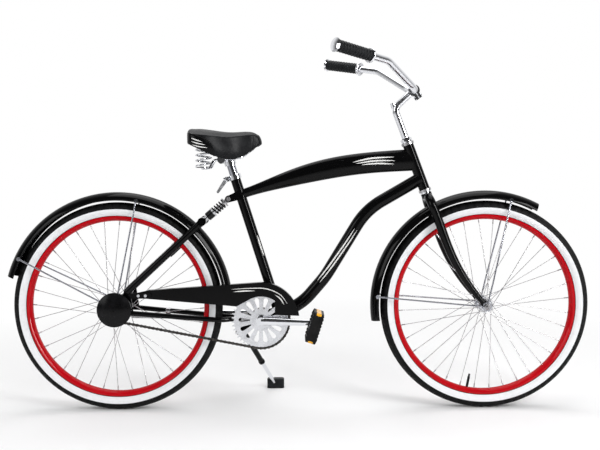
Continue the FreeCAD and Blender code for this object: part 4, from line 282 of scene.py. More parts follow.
rubber = moulded("grip_rubber", rgb(0.006, 0.007, 0.008), rgb(0.018, 0.020, 0.022),
                 smooth=0.42, rough=0.66, pebble=0.0011, depth=0.00008)
black_plastic = moulded("pedal_plastic", rgb(0.005, 0.005, 0.005), rgb(0.014, 0.013, 0.013),
                        smooth=0.36, rough=0.55, pebble=0.0008, depth=0.00006)
gloss_plastic = moulded("cover_plastic", rgb(0.0035, 0.0035, 0.0038), rgb(0.008, 0.008, 0.009),
                        smooth=0.20, rough=0.34, pebble=0.0016, depth=0.00002)
print("rubber and plastics", rubber.name, black_plastic.name, gloss_plastic.name)

# %% [markdown]
# Each piece of the assembly names the slot of its finish. A table from slot to material dresses
# them all. Few pieces depart from it: the chain and its sprocket are the same steel, black with
# oil, the thin fender stays and the seatpost carry a darker copy of the chrome, whose low colour
# is a painted dark reflection, and the lever of the seat clamp is as dull as the chainring.

# %% Dress the solids
finishes = {
    "black_paint": black_paint, "red_paint": red_paint, "chrome": chrome, "hub_chrome": hub_chrome,
    "ring_silver": ring_silver, "steel": steel, "alloy": alloy, "rubber": rubber, "tyre": rubber,
    "black_plastic": black_plastic, "gloss_plastic": gloss_plastic, "vinyl": rubber,
}
# The stays and the seatpost get the darker chrome, a painted dark reflection.
special_finishes = {
    "chain": oiled_steel, "rear_sprocket": oiled_steel,
    "front_fender_stays": chrome_painted_darker, "rear_fender_stays": chrome_painted_darker,
    "seatpost": chrome_painted_darker, "seat_clamp_lever": ring_silver,
}
for part in frame["record"]["subparts"]:
    mesh = frame["nodes"][part["node"]].data
    mesh.materials.clear()
    mesh.materials.append(special_finishes.get(part["node"], finishes[part["material_slot"]]))

# %% [markdown]
# The shock's body is one turned piece in two finishes: the barrel is lacquered black, while the
# eye below it and the collar under the spring stay bright. The distance along the shock's own
# line, from the lower bolt, tells them apart, so the edge runs square round the barrel.

# %% Shock body
BARREL_FROM, BARREL_TO = 0.0168, 0.0399  # metres from the lower bolt
BARREL_EDGE = 0.0002
shock_low = np.array(joints["damper_pivot"]["pos_m"])
shock_high = np.array(joints["rod_pivot"]["pos_m"])
shock_way = (shock_high - shock_low) / np.linalg.norm(shock_high - shock_low)


def shock_finish():
    """Black lacquer between two distances along the shock's line, bright alloy elsewhere."""
    finish = Finish("shock_lacquer", Specular_IOR_Level=0.3)
    vectors = {0: finish.spot(), 1: tuple(shock_way)}
    along = finish.add("VectorMath", {"operation": "DOT_PRODUCT"}, vectors, "Value")
    climb = along - float(shock_low @ shock_way)
    barrel = finish.within(climb, BARREL_FROM, BARREL_TO, BARREL_EDGE)
    blotch = finish.noise(140.0, 5.0)
    bright = finish.blend(blotch, rgb(0.74, 0.75, 0.77), rgb(0.56, 0.57, 0.59))
    return finish.feed(
        Base_Color=finish.blend(barrel, bright, rgb(0.0025, 0.0025, 0.0028)),
        Metallic=1 - barrel,
        Roughness=0.20 + 0.10 * blotch,
        Normal=finish.bump(finish.noise(1800.0, 2.0), 0.000015),
    )


frame["nodes"]["shock_body"].data.materials[0] = shock_finish()
print("shock from", shock_low.round(4), "to", shock_high.round(4))

# %% [markdown]
# Every new piece here is a surface over two counters: row and column of a grid of points. One
# function turns such a grid into a mesh, closing it round either way, and turns the faces
# outwards by the sign of the volume that they enclose. Small helpers go with it: vectors of
# length 1, and the angles of a whole turn.

# %% Grids to meshes
def into_scene(name, data):
    """A new object at the origin that shows a mesh, a lamp or a camera."""
    piece = bpy.data.objects.new(name, data)
    bpy.context.scene.collection.objects.link(piece)
    return piece


def unit(vectors):
    """Each vector divided by its own length."""
    return vectors / np.linalg.norm(vectors, axis=-1, keepdims=True)


def full_turn(count):
    """Angles of a whole turn in equal steps, the last one short of the first."""
    return np.linspace(0, 2 * np.pi, count, endpoint=False)


def surface(name, grid, material, body, wrap_rows=False, wrap_columns=True):
    """Quads between neighbours of grid[row, column]; a wrapped counter joins its last to its first."""
    rows, columns = grid.shape[:2]
    row = np.arange(rows if wrap_rows else rows - 1)[:, None]
    column = np.arange(columns if wrap_columns else columns - 1)[None, :]
    below, beside = (row + 1) % rows, (column + 1) % columns
    quads = np.stack([row * columns + column, row * columns + beside,
                      below * columns + beside, below * columns + column], -1).reshape(-1, 4)
    points = grid.reshape(-1, 3)
    first, second, third = (points[quads[:, k]] - points.mean(0) for k in (0, 1, 2))
    if np.einsum("ij,ij->i", first, np.cross(second, third)).sum() < 0:
        quads = quads[:, ::-1]
    mesh = bpy.data.meshes.new(name)
    mesh.from_pydata(points.tolist(), [], quads.tolist())
    mesh.polygons.foreach_set("use_smooth", np.ones(len(quads), bool))
    mesh.materials.append(material)
    piece = into_scene(name, mesh)
    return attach(piece, body)


def float_attribute(piece, name, values):
    """Stores one number per point, for a material to read."""
    layer = piece.data.attributes.new(name, "FLOAT", "POINT")
    layer.data.foreach_set("value", np.asarray(values, np.float32).ravel())


print("grid helper ready")

# %% [markdown]
# A balloon tyre is one moulded ring: beads in the rim, round white sidewalls, and a black tread
# cut by slots and two grooves. Sculpting it would be slow and uneven. Turning a section round the
# axle gives the ring, and pressing the section in where a slot runs gives the tread.

# %% The tyre's section
# Millimetres: out from the wheel's middle plane, and away from its axle.
TYRE_CROWN = 330.0
TYRE_SHOULDER = (20.5, 323.0)
TYRE_BELLY = (27.0, 306.0)
TYRE_NECK = (16.2, 287.9)
TYRE_FOOT = 282.6
TYRE_WALL = 3.4
SIDE_POINTS, CROWN_POINTS, INNER_POINTS = 15, 37, 8


def arc(start, through, end, count):
    """Points on the circle whose centre is equally far from three points, first to last."""
    a, b, c = (np.array(p, float) for p in (start, through, end))
    chords = 2 * np.array([b - a, c - a])
    centre = np.linalg.solve(chords, [b @ b - a @ a, c @ c - a @ a])
    angles = np.unwrap([math.atan2(*(p - centre)[::-1]) for p in (a, b, c)])
    turn = np.linspace(angles[0], angles[2], count)[:, None]
    return centre + np.linalg.norm(a - centre) * np.concatenate([np.cos(turn), np.sin(turn)], 1)


def mirror_side(points):
    """The same points on the tyre's other side, in the opposite order."""
    return points[::-1] * [-1, 1]


side = arc(TYRE_NECK, TYRE_BELLY, TYRE_SHOULDER, SIDE_POINTS)
foot = np.array([[TYRE_NECK[0], TYRE_FOOT], [TYRE_NECK[0], (TYRE_FOOT + TYRE_NECK[1]) / 2]])
crown = arc(TYRE_SHOULDER, (0, TYRE_CROWN), (-TYRE_SHOULDER[0], TYRE_SHOULDER[1]), CROWN_POINTS)
inner_side = arc((TYRE_NECK[0] - TYRE_WALL, TYRE_FOOT), (TYRE_BELLY[0] - TYRE_WALL, TYRE_BELLY[1]),
                 (0, TYRE_CROWN - TYRE_WALL), INNER_POINTS)
section = np.concatenate([foot, side, crown[1:-1], mirror_side(side), mirror_side(foot),
                          mirror_side(inner_side), inner_side[-2::-1]])
print("section points", len(section))

# %% [markdown]
# White rubber is moulded as a band on each sidewall, a hair proud of the black. Storing each
# point's distance from the axle lets the material draw a band with sharp edges, whatever the
# mesh. Road dust greys the white in patches, and the black rubber carries a dull bloom.

# %% Tyre rubber
WHITE_FROM, WHITE_TO = 0.2886, 0.3090  # metres from the axle
WHITE_EDGE = 0.0003


def tyre_rubber():
    """Black rubber with a white band between two distances from the axle."""
    finish = Finish("whitewall_rubber", Specular_IOR_Level=0.12)
    reach = finish.add("Attribute", {"attribute_name": "reach"}, {}, "Fac")
    band = finish.within(reach, WHITE_FROM, WHITE_TO, WHITE_EDGE)
    bloom = finish.between(finish.noise(28.0, 6.0), 0.35, 0.75)
    dust = finish.between(finish.noise(90.0, 5.0), 0.5, 0.8)
    black = finish.blend(bloom, rgb(0.0030, 0.0030, 0.0032), rgb(0.0090, 0.0090, 0.0095))
    white = finish.blend(0.5 * dust, rgb(0.82, 0.83, 0.85), rgb(0.69, 0.69, 0.68))
    return finish.feed(
        Base_Color=finish.blend(band, black, white),
        Roughness=0.56 + 0.16 * bloom,
        Normal=finish.bump(finish.noise(1500.0, 3.0), 0.00006),
    )


whitewall = tyre_rubber()
print("tyre rubber", whitewall.name)

# %% [markdown]
# The tread repeats about every 26 mm. Slots cross each shoulder, half a pitch apart from side to
# side, and a groove runs on each side of the middle rib. A slot is a soft-edged mask over the
# turn and the section, and the mask times a depth draws the point towards the axle.

# %% Turn the tyres
PITCHES = 80
STEPS_PER_PITCH = 10
SLOT_DEPTH = 2.2
SLOT_SHARE, SLOT_EDGE = 0.36, 0.06  # shares of a pitch
SLOT_FROM, SLOT_FULL = 9.5, 11.0  # out from the middle
SLOT_FOOT, SLOT_TOP = 316.5, 319.0  # away from the axle
GROOVE_AT, GROOVE_HALF = 5.6, 1.5
GROOVE_EDGE = (-0.3, 0.5)
GROOVE_FOOT, GROOVE_TOP = 320, 322
BAND_RISE = 0.35
BAND_RAMP_IN, BAND_RAMP_OUT = 0.5, 0.6


def ramp(value, low, high):
    """0 below low, 1 above high and an eased step between them."""
    share = np.clip((value - low) / (high - low), 0, 1)
    return share * share * (3 - 2 * share)


def tyre(name, joint):
    """Section radius minus tread depth, carried round the wheel's axle."""
    hub = np.array(joints[joint]["pos_m"])
    turn = full_turn(PITCHES * STEPS_PER_PITCH)[:, None]
    wide, reach = section[None, :, 0], section[None, :, 1]
    outer = np.arange(len(section))[None, :] < len(section) - 2 * len(inner_side) + 1
    phase = (turn * PITCHES / (2 * np.pi) + 0.5 * (wide > 0)) % 1
    slot = ramp(0.5 * SLOT_SHARE - np.abs(phase - 0.5), -SLOT_EDGE, SLOT_EDGE)
    slot = slot * ramp(np.abs(wide), SLOT_FROM, SLOT_FULL) * ramp(reach, SLOT_FOOT, SLOT_TOP)
    groove = ramp(GROOVE_HALF - np.abs(np.abs(wide) - GROOVE_AT), *GROOVE_EDGE)
    groove = groove * ramp(reach, GROOVE_FOOT, GROOVE_TOP)
    depth = SLOT_DEPTH * np.maximum(slot, groove) * outer
    white_from, white_to = WHITE_FROM / MM, WHITE_TO / MM
    band = ramp(reach, white_from - BAND_RAMP_IN, white_from)
    band = band * (1 - ramp(reach, white_to, white_to + BAND_RAMP_OUT))
    wide = wide + np.sign(wide) * BAND_RISE * band * outer + 0 * turn
    radius = (reach - depth)[..., None] * MM
    around = np.cos(turn)[..., None] * ahead + np.sin(turn)[..., None] * upright
    grid = hub + radius * around + MM * wide[..., None] * leftward
    node = name + "_tyre"
    piece = surface(name + "_whitewall_tyre", grid, whitewall, name + "_wheel", wrap_rows=True)
    float_attribute(piece, "reach", (reach + 0 * turn) * MM)
    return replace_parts(piece, node)


for wheel_name, wheel_joint in (("front", "front_wheel_spin"), ("rear", "rear_wheel_spin")):
    ring = tyre(wheel_name, wheel_joint)
    print(ring.name, "faces", len(ring.data.polygons))

# %% [markdown]
# The suspension and the saddle ride on coil springs of round wire. A screw modifier could wind
# one, but the formula is short: a point walks round the axis while it climbs, and a small circle
# stands square to its path.

# %% Wind the springs
STEPS_PER_TURN = 48
WIRE_SIDES = 14
WIRE_END_STEPS = 4
WIRE_END_SIZE = 1e-4


def spring(name, start, end, coil, wire, turns, material, body, node):
    """Circle of wire radius carried along a helix from start to end, with rounded ends."""
    start, end = place(start), place(end)
    length = np.linalg.norm(end - start)
    axis = (end - start) / length
    first = unit(np.cross(axis, leftward))
    second = np.cross(axis, first)
    steps = int(STEPS_PER_TURN * turns)
    cap = np.sin(np.linspace(0, np.pi / 2, WIRE_END_STEPS + 1))
    still = np.zeros(WIRE_END_STEPS)
    share = np.concatenate([still, np.linspace(0, 1, steps), still + 1])[:, None]
    thick = np.concatenate([cap[:-1], np.ones(steps), cap[-2::-1]])[:, None, None] + WIRE_END_SIZE
    angle = 2 * np.pi * turns * share
    climb = (length - 2 * wire * MM) * share + wire * MM
    outward = np.cos(angle) * first + np.sin(angle) * second
    path = start + coil * MM * outward + climb * axis
    run = np.cross(axis, outward) * coil * MM * 2 * np.pi * turns + axis * length
    rise = unit(np.cross(run, outward))
    round_turn = full_turn(WIRE_SIDES)[None, :, None]
    ring = np.cos(round_turn) * outward[:, None] + np.sin(round_turn) * rise[:, None]
    piece = surface(name, path[:, None] + wire * MM * thick * ring, material, body)
    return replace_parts(piece, node) if node else piece, start, end, axis


print("spring helper ready")

# %% [markdown]
# The shock's spring sits between the collar on its body and the disc on its rod. The saddle has a
# pair of upright springs under its back corners.

# %% Shock and saddle springs
# Bicycle millimetres.
SHOCK_SPRING_REACH = (44.3, 87.2)
SHOCK_COIL, SHOCK_WIRE, SHOCK_TURNS = 12.4, 2.4, 4.0
SADDLE_SPRING_AT = (275.0, 62.0, 771.0)
SADDLE_SPRING_HEIGHT = 70.0
SADDLE_COIL, SADDLE_WIRE, SADDLE_TURNS = 18.5, 2.4, 4.0


def bike_millimetres(point):
    """The inverse of place(): a world point as bicycle millimetres."""
    return (point - rear_hub) @ axes.T / MM + [0, 0, AXLE_HEIGHT]


shock_ends = [bike_millimetres(shock_low + shock_way * reach * MM) for reach in SHOCK_SPRING_REACH]
coil, foot_end, top_end, way = spring(
    "shock_coil_spring", *shock_ends, SHOCK_COIL, SHOCK_WIRE, SHOCK_TURNS,
    black_paint, "damper", "shock_spring")
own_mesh(coil)
print(coil.name, "length", round(float(np.linalg.norm(top_end - foot_end)), 4))

for flank, label in ((-1, "right"), (1, "left")):
    base = np.array(SADDLE_SPRING_AT) * [1, flank, 1]
    node = "saddle_springs" if flank < 0 else None
    coil, foot_end, top_end, way = spring(
        label + "_saddle_spring", base, base + [0, 0, SADDLE_SPRING_HEIGHT],
        SADDLE_COIL, SADDLE_WIRE, SADDLE_TURNS, chrome, "saddle", node)
    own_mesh(coil)
    print(coil.name, "faces", len(coil.data.polygons))

# %% [markdown]
# The saddle's cover is vinyl stretched over foam. The top is a matt, pebbled vinyl; the panel at
# each back corner is smooth and glossy. A mask on the cover says which is which.

# %% Saddle vinyl
PEBBLES_PER_METRE, PEBBLE_DEPTH = 520.0, 0.00022


def saddle_vinyl():
    """Pebbled matt vinyl, and smooth gloss vinyl where the panel mask is 1."""
    finish = Finish("saddle_vinyl", Specular_IOR_Level=0.13, Sheen_Weight=0.03, Sheen_Roughness=0.30)
    panel = finish.add("Attribute", {"attribute_name": "panel"}, {}, "Fac")
    smooth = finish.between(panel, 0.4, 0.6)
    worn = finish.between(finish.noise(22.0, 5.0), 0.35, 0.75)
    sockets = {"Vector": finish.spot(), "Scale": PEBBLES_PER_METRE}
    pebbles = finish.add("TexVoronoi", {"feature": "SMOOTH_F1"}, sockets, "Distance")
    grain = pebbles * (1 - 0.9 * smooth)
    matt = finish.blend(worn, rgb(0.0028, 0.0032, 0.0042), rgb(0.0065, 0.0072, 0.0088))
    return finish.feed(
        Base_Color=finish.blend(smooth, matt, rgb(0.003, 0.003, 0.0034)),
        Roughness=0.34 + 0.10 * worn - 0.16 * smooth,
        Normal=finish.bump(grain, PEBBLE_DEPTH, 0.7),
    )


vinyl = saddle_vinyl()
print("vinyl", vinyl.name)

# %% [markdown]
# The sewn cover is sharper behind and rounder in front than the solid under it. Ahead of the
# nose's root the points run on to an ellipse: furthest forward at the skirt, drawn back towards
# the top and the sides. At the back the top edge stands up in a low lip.

# %% Shape the cover's ends
# Bicycle millimetres.
NOSE_ROOT, NOSE_BLUNT = 420.0, 456.5
NOSE_BROW, NOSE_TIP = 433.0, 460.0
NOSE_LOW, NOSE_HIGH = 840.0, 878.0
NOSE_HALF_WIDTH = 30.0
LIP_FROM, LIP_TO, LIP_HEIGHT = 252.0, 232.0, 5.0
LIP_LOW, LIP_HIGH = 855.0, 878.0


def sewn_ends(points):
    """x + (stretch - 1) (x - root)^2 / (blunt - root) at the nose, z + a ramped lip at the back."""
    x, y, z = bike_millimetres(points).T
    height = np.clip((z - NOSE_LOW) / (NOSE_HIGH - NOSE_LOW), 0, 1)
    side = np.clip(y / NOSE_HALF_WIDTH, -1, 1)
    front = NOSE_BROW + (NOSE_TIP - NOSE_BROW) * np.sqrt((1 - height ** 2) * (1 - side ** 2))
    stretch = (front - NOSE_ROOT) / (NOSE_BLUNT - NOSE_ROOT)
    ahead_of_root = np.clip(x - NOSE_ROOT, 0, None)
    z = z + LIP_HEIGHT * ramp(-x, -LIP_FROM, -LIP_TO) * ramp(z, LIP_LOW, LIP_HIGH)
    x = x + (stretch - 1) * ahead_of_root ** 2 / (NOSE_BLUNT - NOSE_ROOT)
    return place(np.stack([x, y, z], 1))


print("nose tip at", place([NOSE_TIP, 0, NOSE_LOW]).round(4))

# %% [markdown]
# Foam under a tight cover bulges between its edges. A cloth simulation with a little pressure
# finds that swelling by itself: a copy of the solid is remeshed evenly, drawn in a little and
# blown up for twenty frames. The swelling is capped and evened out from point to point, as foam
# does, and only the outside takes it: the hollow below keeps its room for the pan.

# %% Stuff the saddle
# Metres.
SEWN_WITHIN = 0.00001
VOXEL = 0.0036
DRAWN_IN = 0.0020
SWELL_CAP = 0.0045
HEART_DROP = 0.06
# Plain numbers.
FACING_INSIDE, FACING_OUTSIDE = 0.05, 0.45
PRESSURE = 4.0
STIFFNESS = 40
CLOTH_FRAMES = 20
EDGE_PASSES, FOAM_PASSES = 4, 40


def vertex_array(mesh, kind="vertices", field="co"):
    """All points, or their normals, as one array."""
    values = np.empty(len(getattr(mesh, kind)) * 3, np.float32)
    getattr(mesh, kind).foreach_get(field, values)
    return values.reshape(-1, 3).astype(float)


def merged_copy(node, name):
    """A copy of a solid's mesh with its loose triangles sewn together."""
    mesh = frame["nodes"][node].data.copy()
    shape = bmesh.new()
    shape.from_mesh(mesh)
    bmesh.ops.remove_doubles(shape, verts=shape.verts, dist=SEWN_WITHIN)
    shape.to_mesh(mesh)
    shape.free()
    mesh.name = name
    return into_scene(name, mesh)


def evaluated_mesh(piece):
    """The mesh that a piece's modifiers give."""
    graph = bpy.context.evaluated_depsgraph_get()
    return bpy.data.meshes.new_from_object(piece.evaluated_get(graph))


def set_points(mesh, points):
    """Moves all points of a mesh at once."""
    mesh.vertices.foreach_set("co", points.astype(np.float32).ravel())
    mesh.update()


def evened(values, edges, passes):
    """Each pass moves a point's number half way to the mean of its neighbours'."""
    first, second = edges.T
    count = np.bincount(edges.ravel(), minlength=len(values))
    for _ in range(passes):
        total = np.bincount(first, values[second], len(values))
        total = total + np.bincount(second, values[first], len(values))
        values = (values + total / count) / 2
    return values


def blown_up(piece):
    """The piece's points after the cloth has run with pressure and no gravity."""
    cloth = piece.modifiers.new("swell", "CLOTH")
    cloth.settings.use_pressure = True
    cloth.settings.uniform_pressure_force = PRESSURE
    cloth.settings.effector_weights.gravity = 0
    cloth.settings.tension_stiffness = STIFFNESS
    cloth.settings.compression_stiffness = STIFFNESS
    for step in range(1, CLOTH_FRAMES + 1):
        bpy.context.scene.frame_set(step)
    points = vertex_array(evaluated_mesh(piece))
    piece.modifiers.clear()
    bpy.context.scene.frame_set(1)
    return points


def stuffed(node, name, material):
    """Points move along their normals by the cloth's swelling, capped, evened and only outside."""
    piece = merged_copy(node, name)
    remesh = piece.modifiers.new("even", "REMESH")
    remesh.mode = "VOXEL"
    remesh.voxel_size = VOXEL
    even = evaluated_mesh(piece)
    piece.modifiers.clear()
    piece.data = even
    rest = sewn_ends(vertex_array(even))
    set_points(even, rest)
    normals = vertex_array(even, "vertex_normals", "vector")
    edges = np.array([edge.vertices[:] for edge in even.edges])
    heart = (rest.min(0) + rest.max(0)) / 2 - [0, 0, HEART_DROP]
    facing = np.einsum("ij,ij->i", normals, unit(rest - heart))
    outside = evened(ramp(facing, FACING_INSIDE, FACING_OUTSIDE), edges, EDGE_PASSES)
    start = rest - DRAWN_IN * outside[:, None] * normals
    set_points(even, start)
    swell = DRAWN_IN * outside
    pushed = np.einsum("ij,ij->i", blown_up(piece) - start, normals)
    swell = evened(np.clip(pushed, 0, SWELL_CAP) * outside, edges, FOAM_PASSES)
    set_points(even, start + swell[:, None] * normals)
    even.polygons.foreach_set("use_smooth", np.ones(len(even.polygons), bool))
    even.materials.clear()
    even.materials.append(material)
    print(name, "points", len(rest), "largest swelling", round(float(swell.max()), 5))
    return piece


cover = stuffed("saddle_cover", "stuffed_saddle", vinyl)
smooth_skin = cover.modifiers.new("smooth", "SUBSURF")
smooth_skin.levels = 1
smooth_skin.render_levels = 1

# %% [markdown]
# The glossy panel ends along a curved edge that falls from the back of the seat to the skirt. In
# the side view that edge is a few points; everything behind it belongs to the panel.

# %% Saddle panels
# Bicycle millimetres.
PANEL_EDGE = np.array([(229.0, 879.0), (255.0, 872.0), (275.0, 865.0), (291.0, 857.0),
                       (306.0, 845.0), (314.0, 825.0), (317.0, 790.0)])
PANEL_INSET, PANEL_TOP = 30.0, 881.0
PANEL_STEP = 2.0


def panel_mask(points):
    """1 behind the panel's edge, outboard of the middle and below the top, with soft steps to 0."""
    x, y, z = bike_millimetres(points).T
    edge_x = np.interp(-z, -PANEL_EDGE[:, 1], PANEL_EDGE[:, 0])
    behind = ramp(edge_x - x, -PANEL_STEP / 2, PANEL_STEP / 2)
    outboard = ramp(np.abs(y), PANEL_INSET, PANEL_INSET + PANEL_STEP)
    return behind * outboard * ramp(PANEL_TOP - z, 0, PANEL_STEP)


float_attribute(cover, "panel", panel_mask(vertex_array(cover.data)))
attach(cover, "saddle")
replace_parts(cover, "saddle_cover")
print("panels marked on", cover.name)

# %% [markdown]
# Painted lines and sewn edges follow the surface below them. Rather than shaping each by hand, a
# line is drawn flat in the side view and laid on the solid by a Shrinkwrap modifier that moves
# its points straight across the bicycle until they meet the surface.

# %% Lay points on a surface
CLEAR_OF_BIKE = 0.4  # metres
UNMOVED = 0.0001


def laid(target, flat, flank, lift):
    """Side-view points (x, z) in mm, moved across from one flank to lift metres off the target."""
    shape = np.shape(flat)[:-1]
    flat = np.reshape(flat, (-1, 2))
    middle = place(np.stack([flat[:, 0], np.zeros(len(flat)), flat[:, 1]], 1))
    far = middle + [0, flank * CLEAR_OF_BIKE, 0]
    mesh = bpy.data.meshes.new("line_points")
    mesh.from_pydata(far.tolist(), [], [])
    helper = into_scene("line_points", mesh)
    wrap = helper.modifiers.new("lay", "SHRINKWRAP")
    wrap.wrap_method = "PROJECT"
    wrap.wrap_mode = "ABOVE_SURFACE"
    wrap.use_project_x = False
    wrap.use_project_y = True
    wrap.use_project_z = False
    wrap.use_negative_direction = flank > 0
    wrap.use_positive_direction = flank < 0
    wrap.target = target
    wrap.offset = lift
    points = vertex_array(evaluated_mesh(helper))
    bpy.data.objects.remove(helper)
    missed = np.abs(points - far).max(1) < UNMOVED
    if missed.any():
        print("points beside", target.name, int(missed.sum()))
    return points.reshape(*shape, 3)


def smooth_line(points, count):
    """A cardinal spline through the points, sampled evenly in its counter, as whole arrays."""
    points = np.asarray(points, float)
    padded = np.concatenate([2 * points[:1] - points[1:2], points, 2 * points[-1:] - points[-2:-1]])
    place_on = np.linspace(0, len(points) - 1 - 1e-9, count)
    k = place_on.astype(int)
    t = (place_on - k)[:, None]
    a, b, c, d = (padded[k + shift] for shift in range(4))
    return b + 0.5 * t * (c - a + t * (2 * a - 5 * b + 4 * c - d + t * (3 * (b - c) + d - a)))


print("line helper ready")

# %% [markdown]
# The seam at the panel's edge is a welt: a thin cord sewn into the join. A curve with a round
# bevel would do, but a ring of points carried along the edge can also taper shut at both ends.

# %% Sew the welts
WELT = 1.1
WELT_LIFT = 0.0002  # metres
WELT_STEPS, WELT_SIDES, WELT_END_STEPS = 60, 10, 3
TINY = 1e-3  # the share of its size that a piece keeps where its end closes


def welt_along(name, path, radius, material, body):
    """A circle carried along a path, each ring square to the path, tapering at the ends."""
    run = unit(np.gradient(path, axis=0))
    across = unit(np.cross(run, leftward))
    out = np.cross(across, run)
    thick = np.sin(np.linspace(0, np.pi / 2, WELT_END_STEPS + 1))
    even = np.ones(len(path) - 2 * WELT_END_STEPS)
    size = np.concatenate([thick[:-1] + TINY, even, thick[-2::-1] + TINY])[:, None, None]
    turn = full_turn(WELT_SIDES)[None, :, None]
    ring = np.cos(turn) * across[:, None] + np.sin(turn) * out[:, None]
    return surface(name, path[:, None] + radius * MM * size * ring, material, body)


for flank, label in ((-1, "right"), (1, "left")):
    edge = laid(cover, smooth_line(PANEL_EDGE[1:-1], WELT_STEPS), flank, WELT_LIFT)
    welt = welt_along(label + "_saddle_welt", edge, WELT, gloss_plastic, "saddle")
    print(welt.name, "faces", len(welt.data.polygons))

# %% [markdown]
# Cruisers like this one wear plain pinstripes: long strokes that swell in the middle and taper to
# a point, and small drops, all in warm white. Each is a thin film of paint laid on a tube, the
# guard or the saddle's panel, so a flat ribbon with a Solidify modifier is enough.

# %% Stripe paint
def stripe_paint():
    """Warm white sign paint with brush streaks and a thin clear coat."""
    finish = Finish("stripe_white", Coat_Weight=0.4, Coat_Roughness=0.05)
    streak = finish.noise(420.0, 4.0)
    return finish.feed(
        Base_Color=finish.blend(streak, rgb(0.72, 0.72, 0.70), rgb(0.84, 0.84, 0.82)),
        Roughness=0.25 + 0.2 * streak,
        Normal=finish.bump(streak, 0.00003),
    )


stripe_white = stripe_paint()
STRIPE_LIFT, STRIPE_FILM = 0.00025, 0.00015  # metres
STRIPE_STEPS, STRIPE_COLUMNS = 72, 7
STRIPE_TIP = 0.012  # radians short of the sine's zero


def pinstripe(name, target, body, points, half_width, flank, taper):
    """A stroke along a spline, its half width a sine to the power taper, laid on the target."""
    line = smooth_line(points, STRIPE_STEPS)
    run = unit(np.gradient(line, axis=0))
    normal = np.stack([-run[:, 1], run[:, 0]], 1)
    swell = np.sin(np.linspace(STRIPE_TIP, np.pi - STRIPE_TIP, len(line))) ** taper
    span = np.linspace(-1, 1, STRIPE_COLUMNS)
    flat = line[:, None] + half_width * swell[:, None, None] * span[None, :, None] * normal[:, None]
    grid = laid(target, flat, flank, STRIPE_LIFT)
    piece = surface(name, grid, stripe_white, body, wrap_columns=False)
    film = piece.modifiers.new("film", "SOLIDIFY")
    film.thickness = STRIPE_FILM
    film.offset = 0
    return piece


print("stripe paint ready")

# %% [markdown]
# Down tube: two long parallel strokes. Top tube: three strokes that fan from the head. Seat tube:
# one short stroke. Saddle panel: a fan of short flutes. All these are on both sides. The guard has
# its line, which keeps the guard's own curve, and its drops on the right side alone.

# %% Paint the stripes
# Bicycle millimetres in the side view.
DOWN_TUBE_LINE = [(634.0, 408.0), (667.0, 450.0), (717.0, 520.0), (752.0, 573.0)]
DOWN_TUBE_APART, DOWN_TUBE_ACROSS = 4.5, np.array([0.82, -0.57])
TOP_TUBE_FAN = [[(742.0, 783.0), (800.0, 795.0), (872.0, 799.0)],
                [(752.0, 779.0), (810.0, 787.0), (874.0, 788.0)],
                [(770.0, 775.0), (820.0, 779.0), (872.0, 777.0)]]
SEAT_TUBE_LINE = [(441.0, 555.0), (451.0, 522.0), (462.0, 489.0)]
PANEL_FLUTES = [[(246.0, 862.0), (262.0, 856.0), (280.0, 850.0)],
                [(246.0, 852.0), (266.0, 846.0), (290.0, 841.0)],
                [(248.0, 842.0), (270.0, 836.0), (296.0, 832.0)]]
GUARD_LINE = [(361.0, 391.0), (420.0, 394.0), (470.0, 392.0), (512.0, 374.0), (536.0, 344.0)]
GUARD_DROPS = [[(366.0, 383.0), (400.0, 385.5), (436.0, 386.0)],
               [(497.0, 373.0), (514.0, 360.0), (525.0, 341.0)]]
SLIM, FULL, BLUNT = 0.9, 0.8, 0.6  # tapers: the lower the power, the longer a stroke stays wide

nodes = frame["nodes"]
down_tube_pair = [np.array(DOWN_TUBE_LINE) + shift * DOWN_TUBE_ACROSS
                  for shift in (-DOWN_TUBE_APART, DOWN_TUBE_APART)]
# Name, what carries the strokes, its body, their lines, half width and taper.
side_strokes = [
    ("_down_tube_stripe_{}", nodes["down_tube"], "frame", down_tube_pair, 2.2, BLUNT),
    ("_top_tube_stripe_{}", nodes["top_tube"], "frame", TOP_TUBE_FAN, 2.4, BLUNT),
    ("_seat_tube_stripe", nodes["seat_tube"], "frame", [SEAT_TUBE_LINE], 2.0, BLUNT),
    ("_saddle_flute_{}", cover, "saddle", PANEL_FLUTES, 1.8, FULL),
]
guard_strokes = [
    ("_stripe", nodes["chain_guard"], "swingarm", [GUARD_LINE], 1.5, BLUNT),
    ("_drop_{}", nodes["chain_guard"], "swingarm", GUARD_DROPS, 2.0, SLIM),
]
strokes = [
    pinstripe(label + name.format(k), target, body, line, half_width, flank, taper)
    for flank, label, table in ((-1, "right", side_strokes), (1, "left", side_strokes),
                                (-1, "guard", guard_strokes))
    for name, target, body, lines, half_width, taper in table
    for k, line in enumerate(lines)
]
print("strokes", len(strokes))

# %% [markdown]
# A pedal carries an amber lens across each end, wrapped round both corners so that it shows from
# the side too. Inside, its back is pressed into a grid of small prisms that throw light back the
# way it came, so it glitters in squares. The lens is a low rounded section carried along a path:
# a corner, the straight end of the pedal and the other corner.
# The glitter here is a painted glint: each square is lighter amber in its middle and darker at its edges.

# %% Pedal lenses
PEDAL_HALF_LENGTH, PEDAL_HALF_WIDTH, PEDAL_CORNER = 47.0, 47.0, 9.0
PEDAL_PITCH = math.radians(72.0)
pedal_way = math.cos(PEDAL_PITCH) * ahead + math.sin(PEDAL_PITCH) * upright
LENS_DEPTH = 7.2
LENS_HALF_HEIGHT = 7.5
LENS_PROUD, LENS_SUNK = 0.4, 1.6
LENS_POWER = 0.35
LENS_CORNER_STEPS, LENS_RUN_STEPS, LENS_SIDES = 12, 24, 24


